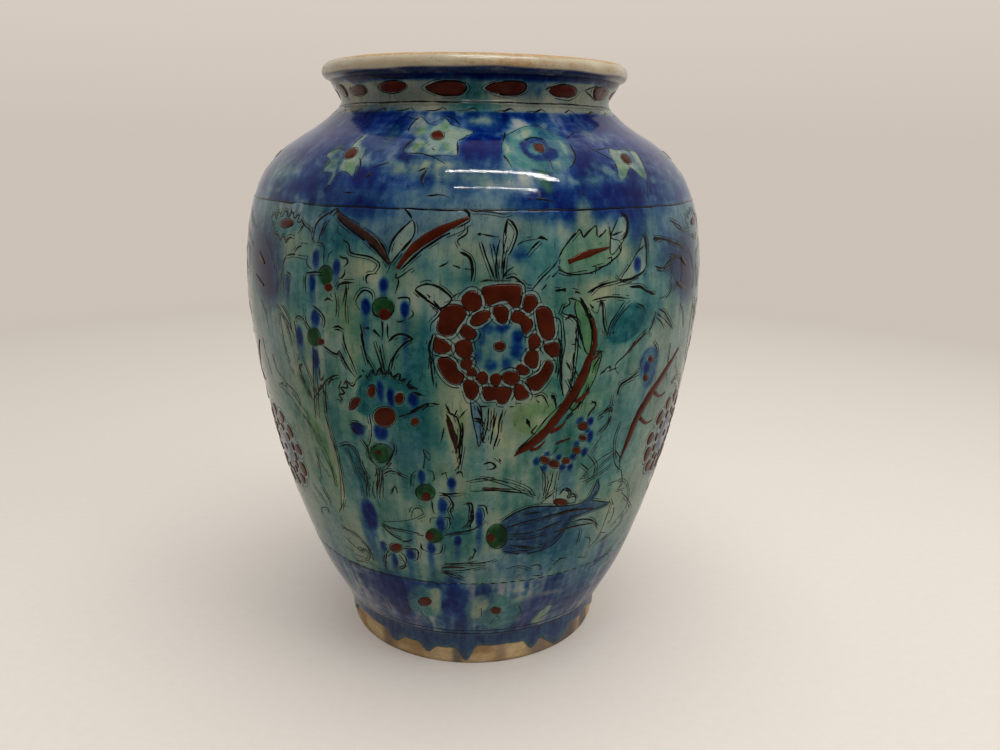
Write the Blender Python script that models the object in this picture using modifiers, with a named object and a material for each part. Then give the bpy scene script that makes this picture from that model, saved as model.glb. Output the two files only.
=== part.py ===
"""Earthenware baluster vase: thrown clay sections luted together with slip, under separate coats of glaze.

Metres, +Z up. The origin is the centre of the circle that the foot stands on, and the front faces -Y.
"""

import math

import bmesh
import bpy
import numpy as np

# Overall form
HEIGHT = 0.338
FOOT_RADIUS = 0.0784
FOOT_HEIGHT = 0.0200
FOOT_FLARE = 0.0010
FOOT_WIDTH = 0.0140
FOOT_EDGE = 0.0012
BASE_EDGE = 0.0222
BAND_LINE = 0.0660
GIRTH = 0.2150
SHOULDER_LINE = 0.2665
NECK_JOINT = 0.3050
NECK_LINE = 0.3140
LIP_SEAT = 0.3285
LIP_ROUND = 0.0046
LIP_RADIUS = 0.0868
LIP_ARC = (140, -70)

# Height and radius of the finished outside, from the edge over the foot to the underside of the lip
SKIN = (
    (BASE_EDGE, 0.0838),
    (0.0450, 0.0956),
    (0.0750, 0.1067),
    (0.1200, 0.1194),
    (0.1650, 0.1279),
    (GIRTH, 0.1332),
    (0.2450, 0.1314),
    (SHOULDER_LINE, 0.1265),
    (0.2800, 0.1199),
    (0.2920, 0.1091),
    (0.3090, 0.0842),
    (0.3160, 0.0773),
    (LIP_SEAT, 0.0826),
)

# Thicknesses and joints
GAP = 0.0003
GLAZE = 0.0008
WALL = 0.0075
SLIP = 0.0008
JOINT_VEE = 0.0030
FLOOR_TOP = 0.0260
FLOOR_UNDER = 0.0150
FLOOR_EDGE = 0.0450
FLOOR_DISH = 0.0006
FLOOR_CORNER = (0.0060, 0.0105)
BASE_BOSS = 0.0560
BOSS_DISH = 0.0010
BOSS_CLEARANCE = 0.0020
BASE_BEVEL = 0.0012
CLAY_DEPTH = GLAZE + GAP
BORE_DEPTH = CLAY_DEPTH + WALL

# Glaze hem on the foot. A wave has a count per turn, a phase in degrees and a height.
# A run has an azimuth from the front and a half width, both in degrees, and a length.
HEM = 0.0115
HEM_LOWEST = 0.0019
HEM_THINNING = 0.35
HEM_WAVES = ((5, 0, 0.0009), (13, 40, 0.0005))
RUN_BEAD = 0.0005
RUNS = (
    (-36, 6, 0.0045),
    (-20, 5, 0.0055),
    (-3, 5, 0.0088),
    (26, 5, 0.0070),
    (39, 11, 0.0090),
    (74, 6, 0.0050),
    (104, 8, 0.0082),
    (141, 5, 0.0060),
    (166, 9, 0.0088),
    (205, 6, 0.0052),
    (238, 10, 0.0084),
    (287, 6, 0.0068),
)

# Facets
STEPS = 48
HEM_STEPS = 96
HEM_ROWS = 3
LIP_POINTS = 9
SHARP_ANGLE = 40

# Finishes: colour and roughness
BUFF_CLAY = ((0.56, 0.38, 0.22), 0.85)
LUTING_SLIP = ((0.62, 0.52, 0.40), 0.85)
COBALT_GLAZE = ((0.02, 0.03, 0.22), 0.12)
TURQUOISE_GLAZE = ((0.07, 0.28, 0.29), 0.12)
CREAM_GLAZE = ((0.62, 0.60, 0.48), 0.15)
PALE_LINING = ((0.58, 0.56, 0.47), 0.20)


def clear_scene():
    for old in list(bpy.data.objects):
        bpy.data.objects.remove(old, do_unlink=True)


def material(name, finish):
    colour, roughness = finish
    made = bpy.data.materials.new(name)
    made.use_nodes = True
    shader = made.node_tree.nodes["Principled BSDF"]
    shader.inputs["Base Color"].default_value = (*colour, 1.0)
    shader.inputs["Roughness"].default_value = roughness
    shader.inputs["Metallic"].default_value = 0.0
    return made


def skin_radius(height):
    """Radius of the finished outside: a smooth cubic through the stations of SKIN."""
    heights = np.array([station[0] for station in SKIN])
    radii = np.array([station[1] for station in SKIN])
    slopes = np.gradient(radii, heights)
    k = int(np.clip(np.searchsorted(heights, height) - 1, 0, len(heights) - 2))
    span = heights[k + 1] - heights[k]
    t = (height - heights[k]) / span
    start = (1 + 2 * t) * (1 - t) ** 2 * radii[k] + t * (1 - t) ** 2 * span * slopes[k]
    end = t * t * (3 - 2 * t) * radii[k + 1] + t * t * (t - 1) * span * slopes[k + 1]
    return float(start + end)


def levels():
    """Heights that every layer shares, so that their facets stay parallel."""
    zones = (
        (BASE_EDGE, BAND_LINE, 2),
        (BAND_LINE, GIRTH, 4),
        (GIRTH, SHOULDER_LINE, 2),
        (SHOULDER_LINE, NECK_JOINT, 4),
        (NECK_JOINT, NECK_LINE, 2),
        (NECK_LINE, LIP_SEAT, 2),
    )
    found = [BASE_EDGE]
    for low, high, count in zones:
        found += list(np.linspace(low, high, count + 1)[1:])
    return found


LEVELS = levels()


def level_of(height):
    return int(np.argmin(np.abs(np.array(LEVELS) - height)))


def frame_at(height):
    """Point, upward tangent and outward normal of the finished outside at a height."""
    step = 1e-5
    point = np.array([skin_radius(height), height])
    rise = np.array([skin_radius(height + step) - skin_radius(height - step), 2 * step])
    tangent = rise / np.linalg.norm(rise)
    normal = np.array([tangent[1], -tangent[0]])
    return point, tangent, normal


def under_skin(height, depth, along=0.0):
    """Point under the finished outside, moved up the wall by along."""
    point, tangent, normal = frame_at(height)
    return tuple(point - depth * normal + along * tangent)


def wall_line(low, high, depth, low_along=0.0, high_along=0.0):
    """Points of one layer's face, from the level at low up to the level at high."""
    chosen = LEVELS[level_of(low) : level_of(high) + 1]
    alongs = [low_along] + [0.0] * (len(chosen) - 2) + [high_along]
    return [under_skin(height, depth, along) for height, along in zip(chosen, alongs)]


def turned(name, profile, finish, closed=True, steps=STEPS):
    """Solid turned from (radius, height) points that run down the outside and up the inside."""
    mesh = bpy.data.meshes.new(name)
    edges = [(k, k + 1) for k in range(len(profile) - 1)]
    if closed:
        edges.append((len(profile) - 1, 0))
    mesh.from_pydata([(r, 0.0, z) for r, z in profile], edges, [])
    made = bpy.data.objects.new(name, mesh)
    screw = made.modifiers.new("turn", "SCREW")
    screw.axis = "Z"
    screw.angle = math.tau
    screw.steps = steps
    screw.render_steps = steps
    screw.use_merge_vertices = True
    screw.merge_threshold = 0.00001
    screw.use_smooth_shade = True
    mesh.materials.append(finish)
    return made


def foot_wall(height):
    return FOOT_RADIUS + FOOT_FLARE * height / FOOT_HEIGHT


def foot_ring(clay):
    inside = FOOT_RADIUS - FOOT_WIDTH
    profile = [
        (foot_wall(FOOT_HEIGHT), FOOT_HEIGHT),
        (foot_wall(FOOT_EDGE), FOOT_EDGE),
        (foot_wall(0.0) - FOOT_EDGE, 0.0),
        (inside + 2 * FOOT_EDGE, 0.0),
        (inside + FOOT_EDGE, FOOT_EDGE),
        (inside, FOOT_HEIGHT),
    ]
    return turned("foot_ring", profile, clay)


def foot_slip(slip):
    low = FOOT_HEIGHT + GAP
    inside = FOOT_RADIUS - FOOT_WIDTH
    outside = foot_wall(FOOT_HEIGHT)
    profile = [(outside, low + SLIP), (outside, low), (inside, low), (inside, low + SLIP)]
    return turned("foot_slip", profile, slip)


def girth_edge(along):
    """The three points of the V joint at the girth: outside, point of the V, inside."""
    outside = under_skin(GIRTH, CLAY_DEPTH, along)
    middle = under_skin(GIRTH, CLAY_DEPTH + WALL / 2, along - JOINT_VEE)
    inside = under_skin(GIRTH, BORE_DEPTH, along)
    return [outside, middle, inside]


def floor_line(depth):
    """Face over the clay floor by depth, from the axis out to the foot of the wall."""
    top = FLOOR_TOP + depth
    radius, height = under_skin(BASE_EDGE, BORE_DEPTH)
    corner = (radius - FLOOR_CORNER[0] - depth, height + FLOOR_CORNER[1] + depth / 2)
    return [(0.0, top), (FLOOR_EDGE, top + FLOOR_DISH), corner]


def lower_body(clay):
    low = FOOT_HEIGHT + SLIP + 2 * GAP
    half = SLIP / 2 + GAP
    outer = wall_line(BASE_EDGE, GIRTH, CLAY_DEPTH)[:-1]
    inner = wall_line(BASE_EDGE, GIRTH, BORE_DEPTH)[1:-1]
    rim = girth_edge(-half)
    under = [
        (outer[0][0] - BASE_BEVEL, low),
        (FOOT_RADIUS - FOOT_WIDTH - BOSS_CLEARANCE, low),
        (BASE_BOSS, FLOOR_UNDER + BOSS_DISH),
        (0.0, FLOOR_UNDER),
    ]
    profile = floor_line(0.0) + inner + rim[::-1] + outer[::-1] + under
    return turned("lower_body", profile, clay, closed=False)


def girth_slip(slip):
    profile = girth_edge(SLIP / 2) + girth_edge(-SLIP / 2)[::-1]
    return turned("girth_slip", profile[::-1], slip)


def upper_body(clay):
    half = SLIP / 2 + GAP
    outer = wall_line(GIRTH, NECK_JOINT, CLAY_DEPTH, high_along=-half)[1:]
    inner = wall_line(GIRTH, NECK_JOINT, BORE_DEPTH, high_along=-half)[1:]
    profile = outer[::-1] + girth_edge(half) + inner
    return turned("upper_body", profile, clay)


def neck_slip(slip):
    high = [under_skin(NECK_JOINT, depth, SLIP / 2) for depth in (BORE_DEPTH, CLAY_DEPTH)]
    low = [under_skin(NECK_JOINT, depth, -SLIP / 2) for depth in (CLAY_DEPTH, BORE_DEPTH)]
    return turned("neck_slip", high + low, slip)


def neck_collar(clay):
    half = SLIP / 2 + GAP
    outer = wall_line(NECK_JOINT, LIP_SEAT, CLAY_DEPTH, low_along=half)
    inner = wall_line(NECK_JOINT, LIP_SEAT, BORE_DEPTH, low_along=half)
    return turned("neck_collar", outer[::-1] + inner, clay)


def lip_roll(finish):
    """Rolled coil: three quarters of a round section over a bevelled seat."""
    centre = (LIP_RADIUS - LIP_ROUND, HEIGHT - LIP_ROUND)
    seat_out = under_skin(LIP_SEAT, 0.0, GAP)
    seat_in = under_skin(LIP_SEAT, BORE_DEPTH, GAP)
    roll = []
    for angle in np.radians(np.linspace(*LIP_ARC, LIP_POINTS)):
        roll.append((centre[0] + LIP_ROUND * math.cos(angle), centre[1] + LIP_ROUND * math.sin(angle)))
    return turned("lip_roll", roll + [seat_out, seat_in], finish)


def coat(name, low, high, finish):
    """One zone of the outer glaze, a thin shell over the clay."""
    outer = wall_line(low, high, 0.0, GAP / 2, -GAP / 2)
    inner = wall_line(low, high, GLAZE, GAP / 2, -GAP / 2)
    return turned(name, outer[::-1] + inner, finish)


def lining_glaze(finish):
    """Glaze inside, from the floor to the lip. In the hollow body it takes every second level of the wall."""
    faces = []
    for depth in (GAP, GAP + GLAZE):
        body = wall_line(BASE_EDGE, SHOULDER_LINE, BORE_DEPTH + depth)[2::2]
        neck = wall_line(SHOULDER_LINE, LIP_SEAT, BORE_DEPTH + depth)[1:]
        faces.append(floor_line(depth) + body + neck)
    outside, inside = faces
    return turned("lining_glaze", inside + outside[::-1], finish, closed=False)


def hem_shape(azimuth):
    """Height of the hem and extra thickness of its edge at an azimuth in degrees from the front."""
    height = HEM
    bead = 0.0
    for count, phase, swing in HEM_WAVES:
        height += swing * math.sin(math.radians(count * azimuth + phase))
    for centre, half_width, length in RUNS:
        away = abs((azimuth - centre + 180) % 360 - 180) / half_width
        if away < 1:
            share = 0.5 + 0.5 * math.cos(math.pi * away)
            height -= length * share
            bead += RUN_BEAD * share
    return max(height, HEM_LOWEST), bead


def foot_glaze(finish):
    """Turned sleeve on the foot whose lower edge is drawn down into runs."""
    drop = FOOT_HEIGHT - HEM
    rows = [FOOT_HEIGHT - drop * k / HEM_ROWS for k in range(HEM_ROWS + 1)]
    outer = [(FOOT_RADIUS + 2 * GLAZE, z) for z in rows]
    inner = [(FOOT_RADIUS, z) for z in rows[::-1]]
    sleeve = turned("foot_glaze", outer + inner, finish, steps=HEM_STEPS)
    bpy.context.scene.collection.objects.link(sleeve)
    graph = bpy.context.evaluated_depsgraph_get()
    drawn = bpy.data.meshes.new_from_object(sleeve.evaluated_get(graph))
    bpy.data.objects.remove(sleeve, do_unlink=True)
    for vertex in drawn.vertices:
        x, y, z = vertex.co
        hem, bead = hem_shape(math.degrees(math.atan2(x, -y)))
        share = (FOOT_HEIGHT - z) / drop
        is_outer = math.hypot(x, y) > FOOT_RADIUS + GLAZE
        height = FOOT_HEIGHT - share * (FOOT_HEIGHT - hem)
        radius = foot_wall(height) + GAP
        if is_outer:
            radius += GLAZE * (1 - HEM_THINNING * share) + bead * share
        scale = radius / math.hypot(x, y)
        vertex.co = (x * scale, y * scale, height)
    mesh = bmesh.new()
    mesh.from_mesh(drawn)
    bmesh.ops.remove_doubles(mesh, verts=mesh.verts, dist=0.00001)
    bmesh.ops.recalc_face_normals(mesh, faces=mesh.faces)
    mesh.to_mesh(drawn)
    mesh.free()
    return bpy.data.objects.new("foot_glaze", drawn)


def main():
    clear_scene()
    vase = bpy.data.collections.new("earthenware_vase")
    bpy.context.scene.collection.children.link(vase)
    clay = material("buff_clay", BUFF_CLAY)
    slip = material("luting_slip", LUTING_SLIP)
    cobalt = material("cobalt_glaze", COBALT_GLAZE)
    turquoise = material("turquoise_glaze", TURQUOISE_GLAZE)
    cream = material("cream_glaze", CREAM_GLAZE)
    lining = material("pale_lining", PALE_LINING)
    pieces = [
        foot_ring(clay),
        foot_slip(slip),
        lower_body(clay),
        girth_slip(slip),
        upper_body(clay),
        neck_slip(slip),
        neck_collar(clay),
        lip_roll(cream),
        foot_glaze(cobalt),
        coat("band_glaze", BASE_EDGE, BAND_LINE, cobalt),
        coat("field_glaze", BAND_LINE, SHOULDER_LINE, turquoise),
        coat("shoulder_glaze", SHOULDER_LINE, NECK_LINE, cobalt),
        coat("neck_glaze", NECK_LINE, LIP_SEAT, cream),
        lining_glaze(lining),
    ]
    for piece in pieces:
        vase.objects.link(piece)
        piece.data.shade_smooth()
        piece.data.set_sharp_from_angle(angle=math.radians(SHARP_ANGLE))


main()
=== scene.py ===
import math

import bpy
import numpy as np
from mathutils import Matrix


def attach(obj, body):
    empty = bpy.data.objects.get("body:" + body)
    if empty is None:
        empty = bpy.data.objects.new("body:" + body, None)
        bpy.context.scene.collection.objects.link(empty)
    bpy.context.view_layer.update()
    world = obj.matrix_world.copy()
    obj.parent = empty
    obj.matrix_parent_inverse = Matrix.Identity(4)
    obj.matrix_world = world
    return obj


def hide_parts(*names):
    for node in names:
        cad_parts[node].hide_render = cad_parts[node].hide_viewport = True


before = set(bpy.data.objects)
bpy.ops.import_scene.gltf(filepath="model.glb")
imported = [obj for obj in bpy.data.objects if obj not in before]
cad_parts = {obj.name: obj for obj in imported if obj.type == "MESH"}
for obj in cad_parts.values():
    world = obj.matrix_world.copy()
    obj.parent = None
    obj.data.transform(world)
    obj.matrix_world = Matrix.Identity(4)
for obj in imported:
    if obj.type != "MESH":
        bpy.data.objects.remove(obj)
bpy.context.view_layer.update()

# Earthenware vase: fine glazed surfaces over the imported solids, with the painting laid on by motif.
# Sizes are in millimetres and turned into metres by MM. Azimuths are in degrees from the front towards +X.
MM = 0.001

# Form, the same as the solids
HEIGHT = 338.0
BASE_EDGE = 22.2
BAND_LINE = 66.0
SHOULDER_LINE = 266.5
NECK_JOINT = 305.0
NECK_LINE = 314.0
LIP_SEAT = 328.5
LIP_ROUND = 4.6
LIP_RADIUS = 86.8
LIP_ARC = (-78, 145)
FOOT_RADIUS = 78.4
FOOT_HEIGHT = 20.0
FOOT_FLARE = 1.0
FOOT_WIDTH = 14.0
FOOT_EDGE = 1.2
GAP = 0.3
GLAZE = 0.8
WALL = 7.5
CLAY_DEPTH = GLAZE + GAP
BORE_DEPTH = CLAY_DEPTH + WALL
LINING_DEPTH = BORE_DEPTH + GAP + GLAZE
FLOOR_TOP = 26.0 + CLAY_DEPTH

# Hem of the foot's glaze. A wave has a count per turn, a phase in degrees and a height.
# A run has an azimuth and a half width, both in degrees, and a length.
HEM = 11.5
HEM_LOWEST = 1.9
RUN_BEAD = 0.5
HEM_WAVES = ((5, 0, 0.9), (13, 40, 0.5), (31, 15, 0.25))
RUNS = (
    (-36, 6, 4.5), (-20, 5, 5.5), (-3, 5, 8.8), (26, 5, 7.0), (39, 11, 9.0), (74, 6, 5.0),
    (104, 8, 8.2), (141, 5, 6.0), (166, 9, 8.8), (205, 6, 5.2), (238, 10, 8.4), (287, 6, 6.8),
)

# Blue films on the bare foot: azimuth and half width, both in degrees, and strength
FILMS = (
    (-41, 4, 0.6), (-7, 3, 0.8), (12, 3, 0.4), (30, 8, 0.7), (46, 14, 0.95), (62, 8, 0.85), (-75, 5, 0.6),
    (98, 4, 0.5), (128, 9, 0.8), (160, 4, 0.6), (195, 12, 0.9), (226, 4, 0.5), (252, 6, 0.7),
)

# Height and radius of the finished outside, from the edge over the foot to the underside of the lip
SKIN = (
    (BASE_EDGE, 83.8), (45.0, 95.6), (75.0, 106.7), (120.0, 119.4), (165.0, 127.9), (215.0, 133.2),
    (245.0, 131.4), (SHOULDER_LINE, 126.5), (280.0, 119.9), (292.0, 109.1), (309.0, 84.2), (316.0, 77.3),
    (LIP_SEAT, 82.6),
)
MEAN_RADIUS = 122.0
SLOPE_STEP = 0.02

# Photograph's frame in pixels, its camera, and the reach of the camera's rays in millimetres
FRAME_WIDE, FRAME_TALL = 1000, 750
FOCAL = 30.573
SENSOR = 36.0
EYE = (0.0, -0.5166, 0.2955)
PITCH, YAW, ROLL = 15.225, 1.789, 0.696
RAY_NEAR, RAY_FAR, RAY_STEPS = 340, 640, 1201

# Fineness of the meshes and of the paint layers
COLUMNS = 832
ROW = 1.0
INNER_EVERY = 16
RING_COLUMNS = 480
PLAIN_COLUMNS = 288
HEM_COLUMNS, HEM_ROWS = 960, 16
PAINT_COLUMNS = 1664
PAINT_ROW = 0.5
PAINT_LOW = 16.0
PAINT_ROWS = 632
UV_MARGIN = 0.004

# Where the front group is repeated around the vase
GROUPS = (0.0, 112.0, -121.0)

stations, station_radii = np.array(SKIN).T
station_slopes = np.gradient(station_radii, stations)
hand = np.random.RandomState(11)


def camera_axes():
    """The camera's directions ahead, across and above."""
    pitch, yaw, roll = (math.radians(a) for a in (PITCH, YAW, ROLL))
    ahead = np.array([math.sin(yaw) * math.cos(pitch), math.cos(yaw) * math.cos(pitch), -math.sin(pitch)])
    right = np.array([math.cos(yaw), -math.sin(yaw), 0.0])
    up = np.cross(right, ahead)
    across = math.cos(roll) * right + math.sin(roll) * up
    return ahead, across, -math.sin(roll) * right + math.cos(roll) * up


AHEAD, ACROSS, ABOVE = camera_axes()


def skin_radius(z):
    """Radius of the finished outside: a smooth cubic through the stations of SKIN."""
    z = np.clip(np.asarray(z, float), stations[0], stations[-1])
    k = np.clip(np.searchsorted(stations, z) - 1, 0, len(stations) - 2)
    span = stations[k + 1] - stations[k]
    t = (z - stations[k]) / span
    start = (1 + 2 * t) * (1 - t) ** 2 * station_radii[k] + t * (1 - t) ** 2 * span * station_slopes[k]
    end = t * t * (3 - 2 * t) * station_radii[k + 1] + t * t * (t - 1) * span * station_slopes[k + 1]
    return start + end


def skin_slope(z):
    z = np.clip(np.asarray(z, float), stations[0] + SLOPE_STEP, stations[-1] - SLOPE_STEP)
    return (skin_radius(z + SLOPE_STEP) - skin_radius(z - SLOPE_STEP)) / (2 * SLOPE_STEP)


def under_skin(heights, depth):
    """Points under the finished outside, as (radius, height), straight in from each height."""
    slope = skin_slope(heights)
    flat = 1 / np.sqrt(1 + slope ** 2)
    return list(zip(skin_radius(heights) - depth * flat, heights + depth * slope * flat))


def wobble(turn, z):
    """Unevenness of hand throwing and of the glaze over it."""
    slow = 0.10 * np.sin(2 * turn + 0.021 * z + 0.6) + 0.06 * np.sin(5 * turn - 0.047 * z)
    rings = 0.030 * np.sin(0.93 * z + 1.6 * np.sin(turn + 1.0))
    rings = rings + 0.022 * np.sin(0.41 * z - 1.1 * np.sin(2 * turn))
    pools = 0.014 * np.sin(17 * turn + 0.33 * z) * np.sin(9 * turn - 0.25 * z)
    return slow + rings + pools


def azimuths(count):
    """Even azimuths right round."""
    return -180 + np.arange(count) * 360 / count


def around(radius, turn, z):
    """Points in metres at a radius, a turn in radians and a height."""
    return np.stack([radius * np.sin(turn), -radius * np.cos(turn), z + 0 * turn], -1) * MM


def place(azimuth, z, lift=0.0):
    """Points on the finished outside, in metres, raised by lift along the surface's normal."""
    turn = np.radians(np.asarray(azimuth, float))
    z = np.asarray(z, float)
    slope = skin_slope(z)
    flat = 1 / np.sqrt(1 + slope ** 2)
    out = wobble(turn, z) + lift
    return around(skin_radius(z) + out * flat, turn, z - out * slope * flat)


def step(low, high, value):
    """Smooth step from 0 at low to 1 at high."""
    t = np.clip((value - low) / (high - low), 0, 1)
    return t * t * (3 - 2 * t)


# Paint layers around the vase: densities of each colourant in the glaze

COLOURANTS = ("turquoise", "cobalt", "green", "ochre", "ink", "violet")
paint_height = PAINT_LOW + np.arange(PAINT_ROWS) * PAINT_ROW
paint = {name: np.zeros((PAINT_ROWS, PAINT_COLUMNS)) for name in COLOURANTS}


def cloud(tall, wide, seed):
    """Soft noise of mean 0 and deviation 1, with patches of the given height and width."""
    grain = np.fft.rfft2(np.random.RandomState(seed).standard_normal((PAINT_ROWS, PAINT_COLUMNS)))
    up = np.fft.fftfreq(PAINT_ROWS, PAINT_ROW)[:, None] * tall * 2
    column = 2 * math.pi * MEAN_RADIUS / PAINT_COLUMNS
    across = np.fft.rfftfreq(PAINT_COLUMNS, column)[None, :] * wide * 2
    soft = np.fft.irfft2(grain * np.exp(-0.5 * (up ** 2 + across ** 2)), s=(PAINT_ROWS, PAINT_COLUMNS))
    return (soft - soft.mean()) / soft.std()


class Spot:
    """A place on the skin with its own flat frame in millimetres: u to the right, v up."""

    def __init__(self, azimuth, z, turn=0.0, size=1.0):
        self.azimuth, self.z, self.turn, self.size = azimuth, z, math.radians(turn), size
        self.rise = 1 / math.sqrt(1 + float(skin_slope(z)) ** 2)

    def at(self, u, v):
        """Azimuth and height of a point of the flat frame."""
        u, v = np.asarray(u, float) * self.size, np.asarray(v, float) * self.size
        across = u * math.cos(self.turn) - v * math.sin(self.turn)
        along = u * math.sin(self.turn) + v * math.cos(self.turn)
        z = self.z + along * self.rise
        return self.azimuth + np.degrees(across / skin_radius(z)), z

    def find(self, azimuth, z):
        """Point of the flat frame at an azimuth and height."""
        along = (np.asarray(z, float) - self.z) / self.rise
        across = np.radians((np.asarray(azimuth, float) - self.azimuth + 180) % 360 - 180) * skin_radius(z)
        u = across * math.cos(self.turn) + along * math.sin(self.turn)
        v = -across * math.sin(self.turn) + along * math.cos(self.turn)
        return u / self.size, v / self.size


# Blotting of every wash
blots = 0.94 + 0.13 * cloud(2.6, 2.2, 41) + 0.13 * cloud(9, 5, 42)


def lay(spot, mask, reach, coats, strength=1.0):
    """Lay a wash over a patch: each colourant moves to its own density by the share that the mask gives."""
    reach = reach * spot.size
    wide = math.degrees(reach / max(float(skin_radius(spot.z)) - 0.6 * reach, 40.0))
    first = int((spot.azimuth - wide + 180) / 360 * PAINT_COLUMNS)
    columns = np.arange(first, first + int(2 * wide / 360 * PAINT_COLUMNS) + 2)
    low = max(int((spot.z - reach - PAINT_LOW) / PAINT_ROW), 0)
    high = min(int((spot.z + reach - PAINT_LOW) / PAINT_ROW) + 2, PAINT_ROWS)
    if high <= low:
        return
    rows = np.arange(low, high)
    azimuth = -180 + (columns[None, :] + 0.5) * 360 / PAINT_COLUMNS
    u, v = spot.find(azimuth, paint_height[rows][:, None])
    where = np.ix_(rows, columns % PAINT_COLUMNS)
    share = np.clip(strength * mask(u, v) * blots[where], 0, 1)
    for name, density in coats.items():
        paint[name][where] += (density - paint[name][where]) * share


def oval(u0, v0, half_wide, half_tall, soft, turn=0.0):
    """Mask of a soft-edged ellipse."""
    c, s = math.cos(math.radians(turn)), math.sin(math.radians(turn))

    def mask(u, v):
        x, y = (u - u0) * c + (v - v0) * s, -(u - u0) * s + (v - v0) * c
        return 1 - step(1 - soft, 1 + soft, np.hypot(x / half_wide, y / half_tall))

    return mask


def area(points, soft):
    """Mask of a soft-edged closed outline."""
    def mask(u, v):
        u, v = np.broadcast_arrays(u, v)
        inside = np.zeros(u.shape, bool)
        away = np.full(u.shape, 1e9)
        for (u1, v1), (u2, v2) in zip(points, np.roll(points, -1, 0)):
            du, dv = u2 - u1, v2 - v1
            t = np.clip(((u - u1) * du + (v - v1) * dv) / (du * du + dv * dv + 1e-9), 0, 1)
            away = np.minimum(away, np.hypot(u - u1 - t * du, v - v1 - t * dv))
            crosses = (v1 > v) != (v2 > v)
            inside ^= crosses & (u < (u2 - u1) * (v - v1) / (v2 - v1 + 1e-12) + u1)
        return step(-soft, soft, np.where(inside, away, -away))

    return mask


def reach_of(points):
    return float(np.abs(points).max()) * 1.45 + 4


# Lines and raised slip. A section has (across, lift) points, with across in half widths.

STROKE_SPACING = 1.1
BEAD_SPACING = 0.8
DOME_SPACING = 1.0
SHAPE_SPACING = 20.0
CURVE_STEPS = 14
ELLIPSE_POINTS = 14
INK_SECTION = ((-1, -0.04), (-0.8, 0.05), (0.8, 0.05), (1, -0.04))
INK_START, INK_END = 0.3, 0.15
INK_LEAST = 0.2
BEAD_SECTION = ((-1, -0.06), (-0.72, 0.26), (0, 0.4), (0.72, 0.26), (1, -0.06))


class Pile:
    """Closed strokes that are joined into one piece."""

    def __init__(self):
        self.points, self.faces, self.count = [], [], 0

    def add(self, points, faces):
        self.points.append(points)
        self.faces += [tuple(k + self.count for k in face) for face in faces]
        self.count += len(points)


ZONES = (("neck", NECK_LINE), ("shoulder", SHOULDER_LINE), ("field", BAND_LINE))
piles = {}


def pile_at(kind, z):
    """The pile for strokes of one kind in the zone that a height falls in."""
    zone = next((name for name, low in ZONES if z > low), "band")
    return piles.setdefault(f"{kind}_{zone}", Pile())


def pairs(points):
    """Points in rows of two, from rows or from a flat list of coordinates."""
    return np.reshape(points, (-1, 2)).astype(float)


def curve(points, spacing=STROKE_SPACING, closed=False):
    """Smooth curve through points, at an even spacing."""
    p = pairs(points)
    if closed:
        p = np.vstack([p[-1], p, p[0], p[1]])
    else:
        p = np.vstack([2 * p[0] - p[1], p, 2 * p[-1] - p[-2]])
    dense = []
    t = np.linspace(0, 1, CURVE_STEPS, endpoint=False)[:, None]
    for a, b, c, d in zip(p, p[1:], p[2:], p[3:]):
        bend = (2 * a - 5 * b + 4 * c - d) * t ** 2 + (3 * b - a - 3 * c + d) * t ** 3
        dense.append(0.5 * (2 * b + (c - a) * t + bend))
    dense = np.vstack(dense + [p[-2][None, :]])
    run = np.concatenate([[0], np.cumsum(np.hypot(*np.diff(dense, axis=0).T))])
    count = max(int(run[-1] / spacing), 4)
    even = np.linspace(0, run[-1], count + 1)
    if closed:
        even = even[:-1]
    return np.stack([np.interp(even, run, dense[:, k]) for k in (0, 1)], 1)


def drift(count, every):
    """Slow hand unevenness along a stroke, from -1 to 1."""
    knots = max(int(count / every) + 3, 4)
    return np.interp(np.linspace(0, knots - 1, count), np.arange(knots), hand.uniform(-1, 1, knots))


def sideways(path, least):
    """Unit directions across a path, to its left."""
    way = np.gradient(path, axis=0)
    way /= np.maximum(np.hypot(way[:, 0], way[:, 1]), least)[:, None]
    return np.stack([-way[:, 1], way[:, 0]], 1)


def ribbon(pile, spot, path, half, section):
    """Closed stroke along a path, with its half widths and its section."""
    side = sideways(path, 1e-9)
    rings = []
    for across, lift in section:
        edge = path + side * (across * half)[:, None]
        rings.append(place(*spot.at(edge[:, 0], edge[:, 1]), lift))
    wide = len(section)
    faces = []
    for i in range(len(path) - 1):
        a, b = i * wide, (i + 1) * wide
        faces += [(a + k, b + k, b + k + 1, a + k + 1) for k in range(wide - 1)]
        faces.append((a + wide - 1, b + wide - 1, b, a))
    faces.append(tuple(range(wide)))
    faces.append(tuple(range((len(path) - 1) * wide, len(path) * wide))[::-1])
    pile.add(np.stack(rings, 1).reshape(-1, 3), faces)


def ink(spot, points, width, dry, closed=False):
    """A brushed line: it swells, thins out to its ends and breaks where the brush ran dry."""
    path = curve(points, closed=closed)
    if closed:
        path = np.vstack([path, path[:1]])
    count = len(path)
    t = np.linspace(0, 1, count)
    swell = np.minimum(1, np.minimum(INK_START + t * count / 3.0, INK_END + (1 - t) * count / 4.0))
    half = 0.5 * width * swell * (1 + 0.35 * drift(count, 5) + 0.25 * drift(count, 2))
    broken = drift(count, 6) + 0.35 * drift(count, 2) < -1.25 + dry
    half = np.where(broken, 0, np.maximum(half, INK_LEAST))
    path = path + 0.12 * np.stack([drift(count, 4), drift(count, 4)], 1)
    begin = None
    for i in range(count + 1):
        if i < count and half[i] > 0:
            begin = i if begin is None else begin
        elif begin is not None:
            if i - begin > 2:
                z = float(spot.at(*path[begin])[1])
                ribbon(pile_at("ink", z), spot, path[begin:i], half[begin:i], INK_SECTION)
            begin = None


def beside(path, gap):
    """The same path, shifted to one side of its run."""
    return path + gap * sideways(path, 1e-6)


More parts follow.
